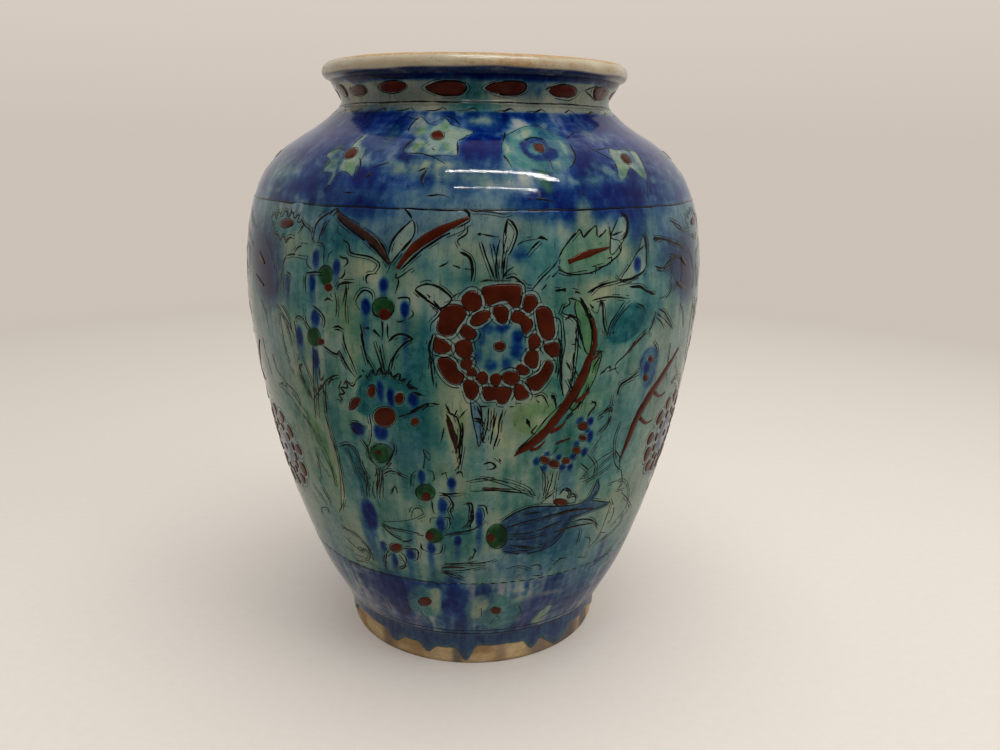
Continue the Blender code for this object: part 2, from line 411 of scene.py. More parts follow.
def bead(spot, points, widths, kind):
    """A loaded stroke of slip that stands proud, with its widths given along it."""
    path = curve(points, BEAD_SPACING)
    count = len(path)
    given = np.interp(np.linspace(0, len(widths) - 1, count), np.arange(len(widths)), widths)
    half = 0.5 * given * (1 + 0.12 * drift(count, 6))
    ribbon(pile_at(kind, float(spot.at(*path[0])[1])), spot, path, half, BEAD_SECTION)


def dome(spot, outline, height):
    """A filled shape of raised red slip inside a closed outline."""
    outline = curve(outline, DOME_SPACING, True)
    outline = outline + 0.10 * np.stack([drift(len(outline), 3), drift(len(outline), 3)], 1)
    centre = outline.mean(0)
    after = np.roll(outline, -1, 0)
    if np.sum(outline[:, 0] * after[:, 1] - after[:, 0] * outline[:, 1]) < 0:
        outline = outline[::-1]
    count = len(outline)
    rings = []
    for share, lift in ((1.0, -0.08), (0.93, 0.55 * height), (0.72, 0.95 * height), (0.4, height)):
        ring = centre + (outline - centre) * share
        rings.append(place(*spot.at(ring[:, 0], ring[:, 1]), lift))
    azimuth, z = spot.at(*centre)
    last = len(rings) - 1
    faces = [tuple(range(count))[::-1]]
    for ring in range(last):
        a, b = ring * count, (ring + 1) * count
        faces += [(a + k, a + (k + 1) % count, b + (k + 1) % count, b + k) for k in range(count)]
    top = last * count
    faces += [(top + k, top + (k + 1) % count, top + count) for k in range(count)]
    pile_at("red", float(z)).add(np.vstack(rings + [place(azimuth, z, height)[None, :]]), faces)


def ellipse(u, v, half_wide, half_tall, turn=0.0, egg=0.0):
    """Outline of an ellipse, or of an egg whose upper half is wider."""
    t = np.arange(ELLIPSE_POINTS) * 2 * math.pi / ELLIPSE_POINTS
    x, y = half_wide * np.cos(t) * (1 + egg * np.sin(t)), half_tall * np.sin(t)
    c, s = math.cos(math.radians(turn)), math.sin(math.radians(turn))
    return np.stack([u + x * c - y * s, v + x * s + y * c], 1)


def grown(outline, by):
    """The outline with each point moved away from the middle."""
    centre = outline.mean(0)
    away = outline - centre
    reach = np.hypot(away[:, 0], away[:, 1])[:, None]
    return centre + away * (reach + by) / reach


# Washes as densities of their colourants. A colourant that a wash doesn't name stays as it is.

def mixed(turquoise, cobalt, green=0.0, ochre=0.0, **others):
    return {"turquoise": turquoise, "cobalt": cobalt, "green": green, "ochre": ochre, **others}


WASHES = {
    "pale": mixed(0.20, 0.04, 0.03, 0.12),
    "cream": mixed(0.09, 0.02, 0.06, 0.44),
    "ochre": mixed(0.30, 0.02, 0.15, 0.80),
    "green": mixed(0.38, 0.03, 0.50, 0.30),
    "leaf": mixed(0.34, 0.03, 0.22, 0.15),
    "bulb": mixed(0.70, 0.18, 1.00, 0.55, ink=0.22),
    "sky": mixed(0.80, 0.06),
    "deep": mixed(1.45, 0.16),
    "grey": mixed(0.17, 0.32, ochre=0.10),
    "soft": mixed(0.42, 0.55),
    "blue": mixed(0.35, 1.60),
    "grout": mixed(0.14, 0.07, ochre=0.02),
    "white": mixed(0.12, 0.03, 0.05, 0.22, violet=0.0),
    "cobalt": mixed(0.12, 1.75),
    "navy": mixed(0.45, 2.0, ink=0.3),
    "violet": mixed(0.10, 0.45, violet=0.55),
    "tulip": mixed(0.42, 0.52, ochre=0.15, ink=0.10, violet=0.15),
    "dusk": mixed(0.35, 0.95, ochre=0.25, ink=0.15),
    "halo": mixed(0.16, 0.05, 0.05, 0.12),
    "dab": mixed(0.25, 1.35),
    "eye": mixed(0.4, 0.7),
    "disc": {"turquoise": 0.62, "cobalt": 0.10, "ochre": 0.18},
    "middle": {"turquoise": 0.75, "cobalt": 0.22, "ochre": 0.05},
}


def border(spot, outline, by, soft, wash):
    """Wash over an outline and a margin round it."""
    wide = grown(outline, by)
    lay(spot, area(wide, soft), reach_of(wide), WASHES[wash])


# Rosettes of the flanks, drawn by rule. A petal has an angle from up, clockwise, a radius and two half sizes.

OUTER_PETALS = (
    (2, 25.4, 6.3, 4.6), (36, 25.3, 4.2, 4.4), (64, 24.4, 4.6, 4.5), (93, 25.2, 4.0, 4.3),
    (126, 24.6, 5.6, 4.4), (154, 24.2, 4.2, 4.0), (183, 22.9, 4.5, 4.0), (214, 24.8, 4.8, 4.2),
    (244, 25.8, 5.6, 4.6), (270, 27.0, 4.6, 4.6), (299, 25.6, 5.4, 4.6), (328, 25.6, 4.6, 4.8),
)
INNER_ANGLES = (2, 33, 64, 88, 112, 136, 160, 186, 211, 240, 267, 296, 328)
INNER_RADIUS = 16.4
DAB_ANGLES = range(8, 368, 45)
DAB_RADIUS = 9.6
RING_RADIUS = 20.4
PETAL_RISE = 0.42


def petal_outline(angle, radius, half_wide, half_tall):
    a = math.radians(angle)
    return ellipse(radius * math.sin(a), radius * math.cos(a), half_wide, half_tall, -angle, 0.18)


def petal(spot, outline, halo):
    """One red petal of a rosette with its pale halo."""
    border(spot, outline, halo, 0.7, "grout")
    dome(spot, outline, PETAL_RISE)


def rosette(azimuth, z, size, turn):
    spot = Spot(azimuth, z, turn, size)
    lay(spot, oval(0, 0, 29.5, 30, 0.12), 40, WASHES["disc"])
    lay(spot, oval(0, 0, 13.2, 13.2, 0.2), 20, WASHES["middle"])
    for angle, *sizes in OUTER_PETALS:
        petal(spot, petal_outline(angle + hand.uniform(-1.5, 1.5), *sizes), 1.9)
    for angle in INNER_ANGLES:
        petal(spot, petal_outline(angle, INNER_RADIUS + hand.uniform(-0.5, 0.5), 3.1, 2.7), 1.5)
    for angle in DAB_ANGLES:
        u, v = DAB_RADIUS * math.sin(math.radians(angle)), DAB_RADIUS * math.cos(math.radians(angle))
        lay(spot, oval(u, v, 3.4, 2.7, 0.3, -angle), 18, WASHES["dab"])
        ink(spot, ellipse(u, v, 3.5, 2.8, -angle)[1:10], 0.45, 0.6)
    lay(spot, oval(0, 0, 5.4, 5.4, 0.2), 9, WASHES["halo"])
    lay(spot, oval(0, 0, 3.6, 3.6, 0.3), 9, WASHES["eye"])
    dome(spot, ellipse(0, 0, 2.3, 2.3), 0.4)
    turns = np.linspace(0, 2 * math.pi, 30)
    ring = [(RING_RADIUS * math.sin(a), RING_RADIUS * math.cos(a)) for a in turns]
    ink(spot, ring, 0.5, 0.55)
    for petal_sizes in OUTER_PETALS:
        ink(spot, grown(petal_outline(*petal_sizes), 1.9)[0:8], 0.6, 0.35)


# The front's painting, drawn on enlarged parts of the photograph's frame: left, top and enlargement

class Sheet:
    """An enlarged part of the photograph's frame, whose points fall on the vase along the camera's rays."""

    def __init__(self, left, top, zoom):
        self.left, self.top, self.zoom = left, top, zoom

    def fall(self, points):
        """Azimuths and heights that the points fall on."""
        points = pairs(points)
        x, y = self.left + points[:, 0] / self.zoom, self.top + points[:, 1] / self.zoom
        pixels = FOCAL / SENSOR * FRAME_WIDE
        right, down = (x - FRAME_WIDE / 2) / pixels, (y - FRAME_TALL / 2) / pixels
        ways = AHEAD + right[:, None] * ACROSS - down[:, None] * ABOVE
        t = np.linspace(RAY_NEAR, RAY_FAR, RAY_STEPS)
        spots = np.array(EYE) / MM + t[None, :, None] * ways[:, None, :]
        gap = np.hypot(spots[..., 0], spots[..., 1]) - skin_radius(spots[..., 2])
        first = np.where((gap < 0).any(1), (gap < 0).argmax(1), gap.argmin(1))
        found = spots[np.arange(len(points)), first]
        return np.degrees(np.arctan2(found[:, 0], -found[:, 1])), found[:, 2]

    def routes(self, points):
        """The points on the skin, once for each repeat of the front, as a spot and a path round it."""
        azimuth, z = self.fall(points)
        for offset in GROUPS:
            spot = Spot(float(azimuth.mean()) + offset, float(z.mean()))
            yield spot, np.stack(spot.find(azimuth + offset, z), 1)


PHOTO = Sheet(0, 0, 1)
NECK = Sheet(330, 40, 4.5)
SHOULDER_LEFT = Sheet(260, 100, 6.0)
SHOULDER_RIGHT = Sheet(470, 100, 6.0)
BAND = Sheet(340, 560, 5.2)
UPPER_LEFT = Sheet(240, 200, 6.0)
UPPER_RIGHT = Sheet(470, 200, 6.0)
CLOSE_LEFT = Sheet(236, 190, 3.9)
CLOSE_RIGHT = Sheet(440, 190, 3.6)
FOOT_LEFT = Sheet(260, 400, 4.3)
FOOT_RIGHT = Sheet(440, 400, 3.8)
LOWER_LEFT = Sheet(270, 400, 6.5)
LOWER_RIGHT = Sheet(470, 400, 6.5)

# Soft patches: wash, centre, half width, half height and strength
PATCHES = (
    (NECK, (
        ("soft", 920, 215, 60, 45, 0.6), ("deep", 640, 235, 55, 70, 0.8), ("deep", 650, 300, 100, 25, 0.6),
        ("grey", 250, 250, 120, 40, 0.4),
    )),
    (SHOULDER_LEFT, (
        ("sky", 130, 420, 60, 60, 0.5), ("soft", 200, 330, 90, 60, 0.6), ("violet", 330, 270, 150, 60, 0.7),
        ("violet", 520, 190, 110, 45, 0.6), ("soft", 610, 230, 130, 60, 0.6),
        ("deep", 800, 200, 40, 60, 0.6), ("soft", 740, 420, 85, 45, 0.9), ("cobalt", 1290, 270, 90, 90, 0.9),
        ("cobalt", 620, 470, 120, 60, 0.8), ("cobalt", 860, 505, 130, 45, 0.7),
        ("cobalt", 300, 520, 120, 40, 0.7), ("cobalt", 700, 110, 140, 40, 0.7),
        ("soft", 1230, 420, 200, 50, 0.6), ("cream", 1000, 395, 190, 45, 0.95),
        ("cream", 1085, 465, 110, 35, 0.85), ("cream", 840, 420, 90, 28, 0.7),
        ("white", 1320, 130, 75, 25, 1.0), ("grey", 760, 590, 430, 40, 0.8),
        ("grey", 1250, 590, 300, 60, 0.9), ("pale", 1240, 480, 90, 40, 0.6),
    )),
    (SHOULDER_RIGHT, (
        ("cobalt", 80, 270, 110, 90, 0.9), ("grey", 130, 380, 130, 40, 0.7),
        ("cream", 130, 470, 120, 40, 0.8), ("violet", 700, 260, 70, 90, 0.8),
        ("violet", 640, 340, 50, 50, 0.6), ("soft", 560, 540, 80, 60, 0.6),
        ("cobalt", 620, 600, 80, 50, 0.8), ("white", 720, 215, 50, 40, 0.8),
        ("white", 780, 415, 34, 42, 1.0), ("cream", 730, 480, 60, 50, 0.7),
        ("cobalt", 880, 560, 120, 60, 0.7), ("pale", 1130, 330, 60, 30, 0.7),
        ("pale", 1200, 440, 70, 50, 0.7), ("violet", 1000, 250, 130, 50, 0.6),
        ("soft", 1180, 560, 110, 80, 0.6), ("grey", 250, 660, 420, 50, 0.9),
        ("cream", 650, 680, 40, 60, 0.9), ("pale", 460, 640, 60, 60, 0.6),
        ("cobalt", 1030, 650, 60, 70, 0.8),
    )),
    (BAND, (
        ("cobalt", 300, 140, 90, 60, 0.7), ("cobalt", 600, 220, 60, 110, 0.8),
        ("violet", 960, 300, 40, 60, 0.8), ("violet", 370, 325, 70, 30, 0.7),
        ("soft", 210, 290, 60, 50, 0.7), ("soft", 1200, 160, 90, 80, 0.6),
        ("violet", 1030, 215, 70, 30, 0.7), ("soft", 800, 380, 220, 30, 0.6),
    )),
    (UPPER_LEFT, (
        ("grey", 800, 110, 460, 170, 0.9), ("blue", 740, 30, 150, 70, 0.7),
        ("grey", 1100, 170, 320, 170, 0.5), ("pale", 1250, 260, 160, 130, 0.7),
        ("cream", 1130, 330, 110, 60, 0.5), ("deep", 565, 255, 80, 115, 0.95),
        ("deep", 700, 290, 110, 60, 0.6), ("sky", 350, 480, 80, 230, 0.8),
        ("cream", 285, 255, 110, 110, 0.9), ("cream", 700, 400, 120, 90, 0.95),
        ("cream", 1020, 500, 120, 80, 0.9), ("cream", 530, 620, 80, 60, 0.6),
        ("ochre", 630, 700, 80, 90, 0.6), ("cream", 300, 800, 50, 120, 0.7),
        ("deep", 1090, 990, 110, 200, 1.0), ("pale", 1190, 560, 170, 90, 0.6),
        ("pale", 760, 880, 170, 100, 0.5), ("cream", 1190, 1170, 130, 150, 0.6),
        ("pale", 170, 900, 120, 300, 0.6), ("pale", 1330, 420, 120, 60, 0.5),
        ("deep", 950, 1130, 150, 90, 0.8), ("ochre", 690, 900, 60, 120, 0.5),
        ("sky", 800, 1050, 80, 120, 0.7), ("grey", 160, 850, 80, 200, 0.6), ("deep", 762, 690, 90, 130, 0.6),
        ("deep", 342, 540, 90, 150, 0.4), ("sky", 1182, 450, 90, 170, 0.5),
        ("deep", 540, 600, 90, 150, 0.25), ("pale", 972, 720, 80, 120, 0.6),
        ("grey", 1182, 160, 110, 100, 0.5),
    )),
    (CLOSE_LEFT, (
        ("navy", 100, 240, 44, 90, 0.85), ("navy", 120, 345, 38, 75, 0.9), ("ochre", 440, 470, 50, 70, 0.5),
        ("pale", 150, 300, 8, 60, 0.5),
    )),
    (UPPER_RIGHT, (
        ("grey", 200, 170, 260, 130, 0.4), ("pale", 120, 200, 150, 150, 0.6),
        ("cream", 60, 330, 90, 60, 0.6), ("blue", 520, 40, 180, 80, 0.95), ("blue", 950, 40, 230, 70, 0.8),
        ("blue", 1000, 130, 45, 150, 0.8), ("cream", 690, 110, 50, 85, 1.0),
        ("cream", 540, 170, 20, 65, 0.9), ("pale", 1095, 180, 24, 240, 0.8),
        ("deep", 410, 330, 150, 100, 0.6), ("sky", 760, 430, 320, 80, 0.9),
        ("deep", 950, 760, 120, 130, 0.55), ("pale", 800, 680, 60, 130, 0.5),
        ("sky", 620, 820, 110, 200, 0.8), ("deep", 560, 1220, 70, 110, 1.0),
        ("sky", 860, 1180, 220, 200, 0.8), ("soft", 1230, 300, 110, 160, 0.5),
        ("grey", 1200, 130, 140, 120, 0.8), ("pale", 1270, 700, 120, 260, 0.6),
        ("cream", 790, 560, 170, 55, 0.8), ("cream", 930, 330, 80, 90, 0.6),
        ("cream", 420, 1230, 100, 80, 0.9), ("deep", 1085, 640, 60, 90, 0.8),
        ("pale", 140, 300, 60, 120, 0.6), ("green", 700, 740, 40, 160, 0.6),
        ("green", 720, 1220, 120, 60, 0.4), ("green", 690, 330, 110, 50, 0.7),
        ("soft", 150, 270, 30, 60, 0.7), ("soft", 235, 225, 24, 60, 0.6), ("blue", 300, 325, 46, 40, 0.6),
        ("pale", 230, 370, 90, 110, 0.5), ("sky", 1062, 540, 110, 120, 0.4),
        ("cream", 642, 540, 90, 100, 0.6), ("pale", 432, 180, 90, 110, 0.5),
    )),
    (CLOSE_RIGHT, (
        ("sky", 365, 215, 55, 70, 0.7), ("sky", 440, 330, 60, 60, 0.6), ("pale", 720, 700, 80, 120, 0.6),
        ("cream", 610, 335, 60, 30, 0.7), ("sky", 690, 470, 60, 90, 0.6), ("pale", 640, 640, 35, 90, 0.5),
        ("cream", 520, 75, 22, 45, 0.8), ("cream", 60, 210, 50, 60, 0.5),
    )),
    (LOWER_LEFT, (
        ("sky", 900, 600, 800, 600, 0.25), ("soft", 860, 310, 120, 110, 0.45),
        ("cream", 960, 730, 110, 70, 0.8), ("pale", 800, 620, 90, 160, 0.6),
        ("pale", 1290, 430, 40, 200, 0.5), ("sky", 940, 470, 60, 180, 0.6),
        ("cream", 560, 930, 140, 100, 0.9), ("cream", 445, 650, 40, 150, 0.8),
        ("soft", 400, 850, 60, 150, 0.7), ("deep", 1215, 900, 90, 160, 1.0),
        ("soft", 560, 480, 50, 160, 0.4), ("cream", 1190, 540, 90, 130, 0.7),
        ("pale", 300, 650, 60, 120, 0.6), ("deep", 1340, 560, 70, 260, 0.5),
        ("pale", 820, 990, 170, 100, 0.6), ("pale", 195, 520, 130, 420, 0.8),
        ("pale", 1360, 770, 60, 100, 0.7), ("pale", 1170, 600, 90, 130, 0.7),
        ("pale", 560, 940, 120, 100, 0.6), ("violet", 240, 800, 70, 90, 0.6),
        ("soft", 240, 800, 90, 130, 0.5), ("sky", 480, 380, 90, 260, 0.6), ("cream", 250, 250, 90, 200, 0.6),
        ("deep", 940, 90, 160, 130, 0.9), ("cream", 330, 160, 60, 160, 0.6),
        ("cream", 1180, 60, 120, 120, 0.7), ("deep", 1085, 260, 110, 110, 0.5),
        ("pale", 1085, 1020, 120, 100, 0.5),
    )),
    (FOOT_RIGHT, (
        ("cream", 60, 70, 60, 80, 0.8), ("cream", 310, 80, 70, 70, 0.7), ("ochre", 350, 60, 45, 45, 0.5),
        ("grey", 220, 60, 45, 80, 0.5), ("sky", 640, 140, 55, 90, 0.6), ("pale", 300, 290, 100, 55, 0.6),
        ("pale", 200, 640, 60, 60, 0.6), ("cream", 120, 330, 90, 40, 0.5),
    )),
    (LOWER_RIGHT, (
        ("pale", 200, 100, 260, 160, 0.6), ("cream", 390, 70, 150, 110, 0.8),
        ("sky", 880, 220, 120, 150, 0.6), ("pale", 560, 540, 110, 120, 0.7), ("pale", 330, 600, 60, 90, 0.6),
        ("pale", 100, 420, 60, 150, 0.5), ("soft", 620, 560, 40, 130, 0.6),
        ("soft", 420, 1060, 280, 90, 0.55), ("deep", 240, 660, 160, 60, 0.2),
        ("deep", 620, 930, 120, 90, 0.6), ("pale", 1137, 455, 110, 330, 0.8),
        ("sky", 950, 300, 130, 260, 0.8), ("pale", 520, 470, 60, 150, 0.6), ("soft", 640, 900, 110, 80, 0.6),
        ("cream", 940, 620, 60, 80, 0.6), ("pale", 860, 800, 80, 60, 0.6), ("green", 470, 60, 130, 40, 0.5),
        ("ochre", 230, 270, 90, 130, 0.4), ("pale", 0, 1020, 120, 100, 0.5),
        ("pale", 400, 650, 160, 80, 0.5), ("sky", 923, 65, 90, 80, 0.4), ("cream", 695, 65, 90, 80, 0.5),
    )),
)

# Filled shapes: wash and outline. Which of them are outlined, and which are laid thin, goes by their wash.
OUTLINED = ("pale", "green", "leaf", "grey")
SHAPE_INK, STAR_INK = (0.75, 0.45), (0.45, 0.95)
OUTLINED_ABOVE = 150.0
STARS = ("white", "pale", "sky")
STAR_POINTS = 9
THIN = ("green", "leaf")
THIN_SHARE = 0.75
SHAPES = (
    (NECK, (
        ("navy", 70, 150, 120, 130, 260, 135, 500, 150, 800, 142, 1000, 150, 1240, 180, 1230, 196, 1100, 186,
         800, 178, 500, 170, 360, 172, 200, 174, 100, 188),
    )),
    (SHOULDER_LEFT, (
        ("white", 660, 190, 600, 262, 640, 290, 620, 340, 580, 400, 555, 465, 520, 430, 470, 440, 420, 512,
         400, 500, 432, 440, 370, 430, 420, 370, 398, 330, 470, 290, 520, 300, 590, 240),
        ("pale", 895, 180, 960, 100, 1010, 140, 1060, 150, 1110, 108, 1160, 150, 1285, 190, 1200, 240,
         1180, 332, 1100, 330, 1020, 335, 950, 330, 858, 310, 900, 260, 930, 230),
        ("white", 1110, 190, 1180, 178, 1285, 190, 1230, 230, 1190, 246, 1182, 332, 1140, 312, 1090, 245),
        ("green", 480, 300, 430, 330, 450, 290, 500, 265), ("green", 400, 370, 480, 350, 470, 385, 410, 400),
        ("green", 520, 380, 580, 390, 560, 440, 530, 425),
        ("green", 930, 185, 975, 165, 1020, 185, 975, 208),
        ("green", 905, 275, 960, 255, 1005, 265, 950, 295),
        ("green", 1085, 175, 1105, 140, 1125, 150, 1115, 190),
        ("green", 1080, 250, 1120, 255, 1145, 295, 1110, 300),
    )),
    (SHOULDER_RIGHT, (
        ("sky", 190, 290, 200, 230, 260, 190, 330, 160, 400, 160, 470, 185, 540, 220, 600, 270, 632, 340,
         610, 400, 540, 430, 480, 440, 400, 422, 320, 412, 250, 400, 205, 360),
        ("white", 265, 215, 320, 175, 375, 180, 350, 225, 300, 245),
        ("white", 490, 350, 540, 360, 548, 420, 510, 415), ("white", 200, 270, 240, 265, 250, 320, 215, 330),
        ("white", 530, 250, 590, 290, 585, 330, 545, 300),
        ("green", 400, 430, 445, 430, 482, 470, 490, 560, 450, 552, 420, 500),
        ("blue", 300, 280, 330, 245, 400, 232, 440, 245, 470, 290, 520, 310, 510, 350, 440, 362, 360, 340),
        ("sky", 340, 285, 390, 255, 440, 270, 455, 310, 410, 335, 360, 320),
        ("white", 830, 290, 880, 300, 930, 288, 1000, 318, 1032, 380, 1068, 482, 1010, 450, 960, 412,
         930, 472, 890, 470, 880, 420, 858, 370, 838, 330),
        ("green", 905, 400, 940, 410, 925, 465, 905, 450),
        ("green", 1010, 400, 1030, 420, 1050, 465, 1020, 450),
    )),
    (BAND, (
        ("sky", 350, 170, 400, 128, 470, 150, 522, 150, 528, 220, 510, 292, 460, 282, 420, 260, 380, 272,
         354, 220),
        ("sky", 650, 240, 700, 190, 760, 180, 800, 163, 860, 190, 922, 200, 962, 230, 950, 290, 900, 330,
         840, 352, 780, 352, 720, 332, 680, 330, 655, 290),
        ("white", 470, 150, 520, 155, 522, 230, 505, 285, 480, 260, 470, 200),
        ("white", 700, 200, 760, 190, 770, 240, 720, 300, 680, 300),
        ("white", 990, 332, 1010, 290, 1070, 240, 1102, 232, 1080, 270, 1030, 322),
        ("pale", 140, 190, 180, 230, 262, 302, 230, 292, 160, 250),
        ("pale", 870, 205, 1000, 175, 1150, 150, 1150, 165, 1000, 195, 900, 218),
    )),
    (UPPER_LEFT, (
        ("pale", 890, 330, 920, 240, 980, 170, 1035, 120, 1050, 180, 1020, 250, 950, 330, 900, 380),
        ("grey", 440, 240, 455, 160, 500, 100, 590, 50, 530, 130, 490, 190, 470, 250),
        ("dusk", 585, 80, 720, 165, 830, 250, 900, 385, 850, 340, 760, 255, 640, 165),
        ("pale", 1050, 540, 1130, 505, 1230, 545, 1270, 600, 1200, 650, 1120, 600),
        ("deep", 690, 1250, 740, 1080, 800, 1020, 870, 1060, 960, 1090, 1040, 1120, 1110, 1180, 1110, 1290,
         900, 1320),
    )),
    (CLOSE_LEFT, (
        ("sky", 140, 112, 200, 95, 246, 115, 236, 160, 190, 182, 146, 156),
    )),
    (UPPER_RIGHT, (
        ("pale", 225, 115, 280, 190, 270, 250, 215, 335, 200, 240),
        ("leaf", 540, 400, 560, 290, 655, 180, 680, 225, 752, 155, 770, 225, 835, 160, 845, 225, 900, 250,
         890, 330, 740, 430, 600, 445), ("pale", 905, 90, 945, 150, 935, 215, 850, 330, 845, 215),
        ("pale", 1040, 215, 1055, 400, 960, 470, 900, 480, 1000, 320),
        ("green", 650, 600, 700, 680, 730, 800, 720, 920, 690, 900, 660, 780, 630, 640),
        ("pale", 560, 690, 640, 710, 650, 800, 640, 960, 610, 1100, 560, 1180, 550, 1000, 570, 860),
        ("green", 740, 930, 790, 920, 740, 1090, 640, 1250, 600, 1230, 690, 1080),
        ("deep", 820, 830, 880, 690, 990, 620, 1050, 680, 1000, 800, 900, 860),
        ("soft", 1020, 960, 1080, 880, 1130, 920, 1110, 1040, 1060, 1130, 1020, 1050),
    )),
    (LOWER_LEFT, (
        ("green", 230, 60, 300, 130, 380, 290, 440, 430, 450, 560, 430, 560, 380, 420, 300, 250),
        ("cream", 360, 90, 410, 250, 455, 400, 485, 560, 480, 650, 450, 735, 455, 600, 420, 440, 380, 290),
        ("deep", 460, 300, 520, 300, 570, 350, 620, 520, 630, 650, 590, 560, 530, 400),
    )),
    (FOOT_RIGHT, (
        ("cream", 10, 30, 40, 60, 70, 130, 78, 220, 60, 270, 40, 200, 20, 110),
        ("ochre", 80, 30, 95, 70, 90, 140, 76, 200, 68, 150, 72, 80),
        ("grey", 118, 0, 150, 20, 160, 90, 150, 180, 135, 120, 122, 60),
        ("cream", 190, 40, 215, 60, 235, 120, 240, 180, 215, 150, 200, 100),
        ("ochre", 270, 60, 320, 20, 350, 60, 380, 120, 330, 130, 290, 110),
    )),
    (LOWER_RIGHT, (
        ("tulip", 200, 800, 320, 725, 470, 690, 640, 690, 740, 665, 800, 600, 832, 515, 838, 590, 800, 655,
         905, 672, 780, 725, 650, 790, 560, 920, 450, 985, 320, 1000, 210, 980),
        ("green", 300, 330, 400, 240, 480, 140, 560, 60, 600, 20, 560, 130, 450, 240, 330, 340),
        ("pale", 560, 660, 590, 600, 620, 565, 655, 600, 690, 640, 660, 680),
    )),
)

# Blue drops that ran: centre, half width, half height and length of the run
DROPS = (
    (UPPER_LEFT, (
        (455, 350, 24, 52, 70), (578, 405, 26, 48, 90), (432, 495, 22, 52, 100), (452, 705, 28, 42, 70),
        (358, 815, 22, 52, 90), (455, 950, 22, 52, 110), (862, 505, 34, 42, 70), (755, 640, 30, 48, 200),
        (990, 655, 32, 42, 330), (840, 1140, 26, 60, 60), (905, 1180, 26, 50, 60), (1040, 1200, 40, 40, 60),
        (285, 500, 16, 60, 90),
    )),
    (UPPER_RIGHT, (
        (1005, 385, 22, 44, 20), (1060, 1000, 20, 44, 120),
    )),
    (LOWER_LEFT, (
        (985, 500, 30, 42, 60), (1180, 540, 34, 32, 70), (1120, 685, 38, 44, 70), (1110, 800, 32, 44, 90),
        (1050, 960, 30, 36, 180), (1360, 755, 28, 62, 170), (650, 745, 62, 84, 200), (740, 950, 22, 32, 140),
        (815, 1040, 20, 42, 130), (915, 1000, 28, 30, 180), (575, 185, 54, 36, 40), (720, 205, 52, 52, 30),
        (1220, 915, 30, 30, 100),
    )),
    (LOWER_RIGHT, (
        (60, 770, 26, 58, 140), (715, 135, 26, 22, 10), (780, 140, 22, 24, 10), (690, 290, 22, 22, 10),
        (780, 235, 22, 34, 10), (742, 335, 24, 22, 20), (665, 370, 22, 20, 20), (575, 370, 20, 18, 10),
        (600, 432, 24, 18, 20), (500, 358, 24, 20, 10), (432, 395, 26, 26, 20), (482, 440, 22, 18, 20),
        (650, 432, 20, 18, 30), (760, 195, 20, 18, 10),
    )),
)

# Green bulbs with a red tip: centre, half width, half height, then the tip's centre and size
BULB_INK = (0.6, 0.7)
TIP_RISE = 0.3
BULBS = (
    (UPPER_LEFT, (
        (512, 450, 44, 58, 530, 524, 26), (860, 645, 70, 60, 868, 686, 38), (445, 820, 40, 52, 486, 852, 22),
    )),
    (LOWER_LEFT, (
        (1010, 600, 66, 52, 1015, 628, 30), (1070, 880, 56, 44, 1038, 885, 28),
        (720, 345, 70, 62, 706, 340, 18),
    )),
    (LOWER_RIGHT, (
        (175, 885, 70, 80, 135, 896, 28),
    )),
)

# Red slip laid thick: centre, half width, half height and tilt
SPOT_INK = (0.5, 0.4)
SPOT_RISE = 0.35
SPOT_HALO = 0.9
RED_SPOTS = (
    (NECK, (
        (128, 227, 40, 24, 0), (282, 210, 65, 26, -2),
    )),
    (SHOULDER_LEFT, (
        (545, 320, 46, 25, -32), (1065, 213, 38, 28, 0),
    )),
    (SHOULDER_RIGHT, (
        (415, 290, 34, 25, 30), (935, 355, 38, 21, 40),
    )),
    (BAND, (
        (445, 215, 35, 22, 0), (810, 262, 28, 17, 0),
    )),
    (UPPER_LEFT, (
        (280, 140, 44, 24, -8), (790, 1146, 24, 38, 12), (955, 1190, 27, 36, 10), (692, 1212, 36, 24, -40),
        (868, 1302, 68, 60, 0),
    )),
    (UPPER_RIGHT, (
        (178, 877, 33, 29, 0), (1083, 955, 16, 20, 0), (1055, 1065, 14, 20, 0),
    )),
    (LOWER_LEFT, (
        (942, 140, 26, 24, 0), (820, 958, 40, 28, 0), (545, 30, 40, 18, -50),
    )),
    (LOWER_RIGHT, (
        (735, 170, 32, 25, 10), (735, 246, 26, 19, 10), (693, 326, 26, 22, 0), (625, 396, 27, 20, 0),
        (545, 416, 35, 24, 20), (487, 389, 32, 23, 20), (590, 664, 46, 19, 8),
    )),
)

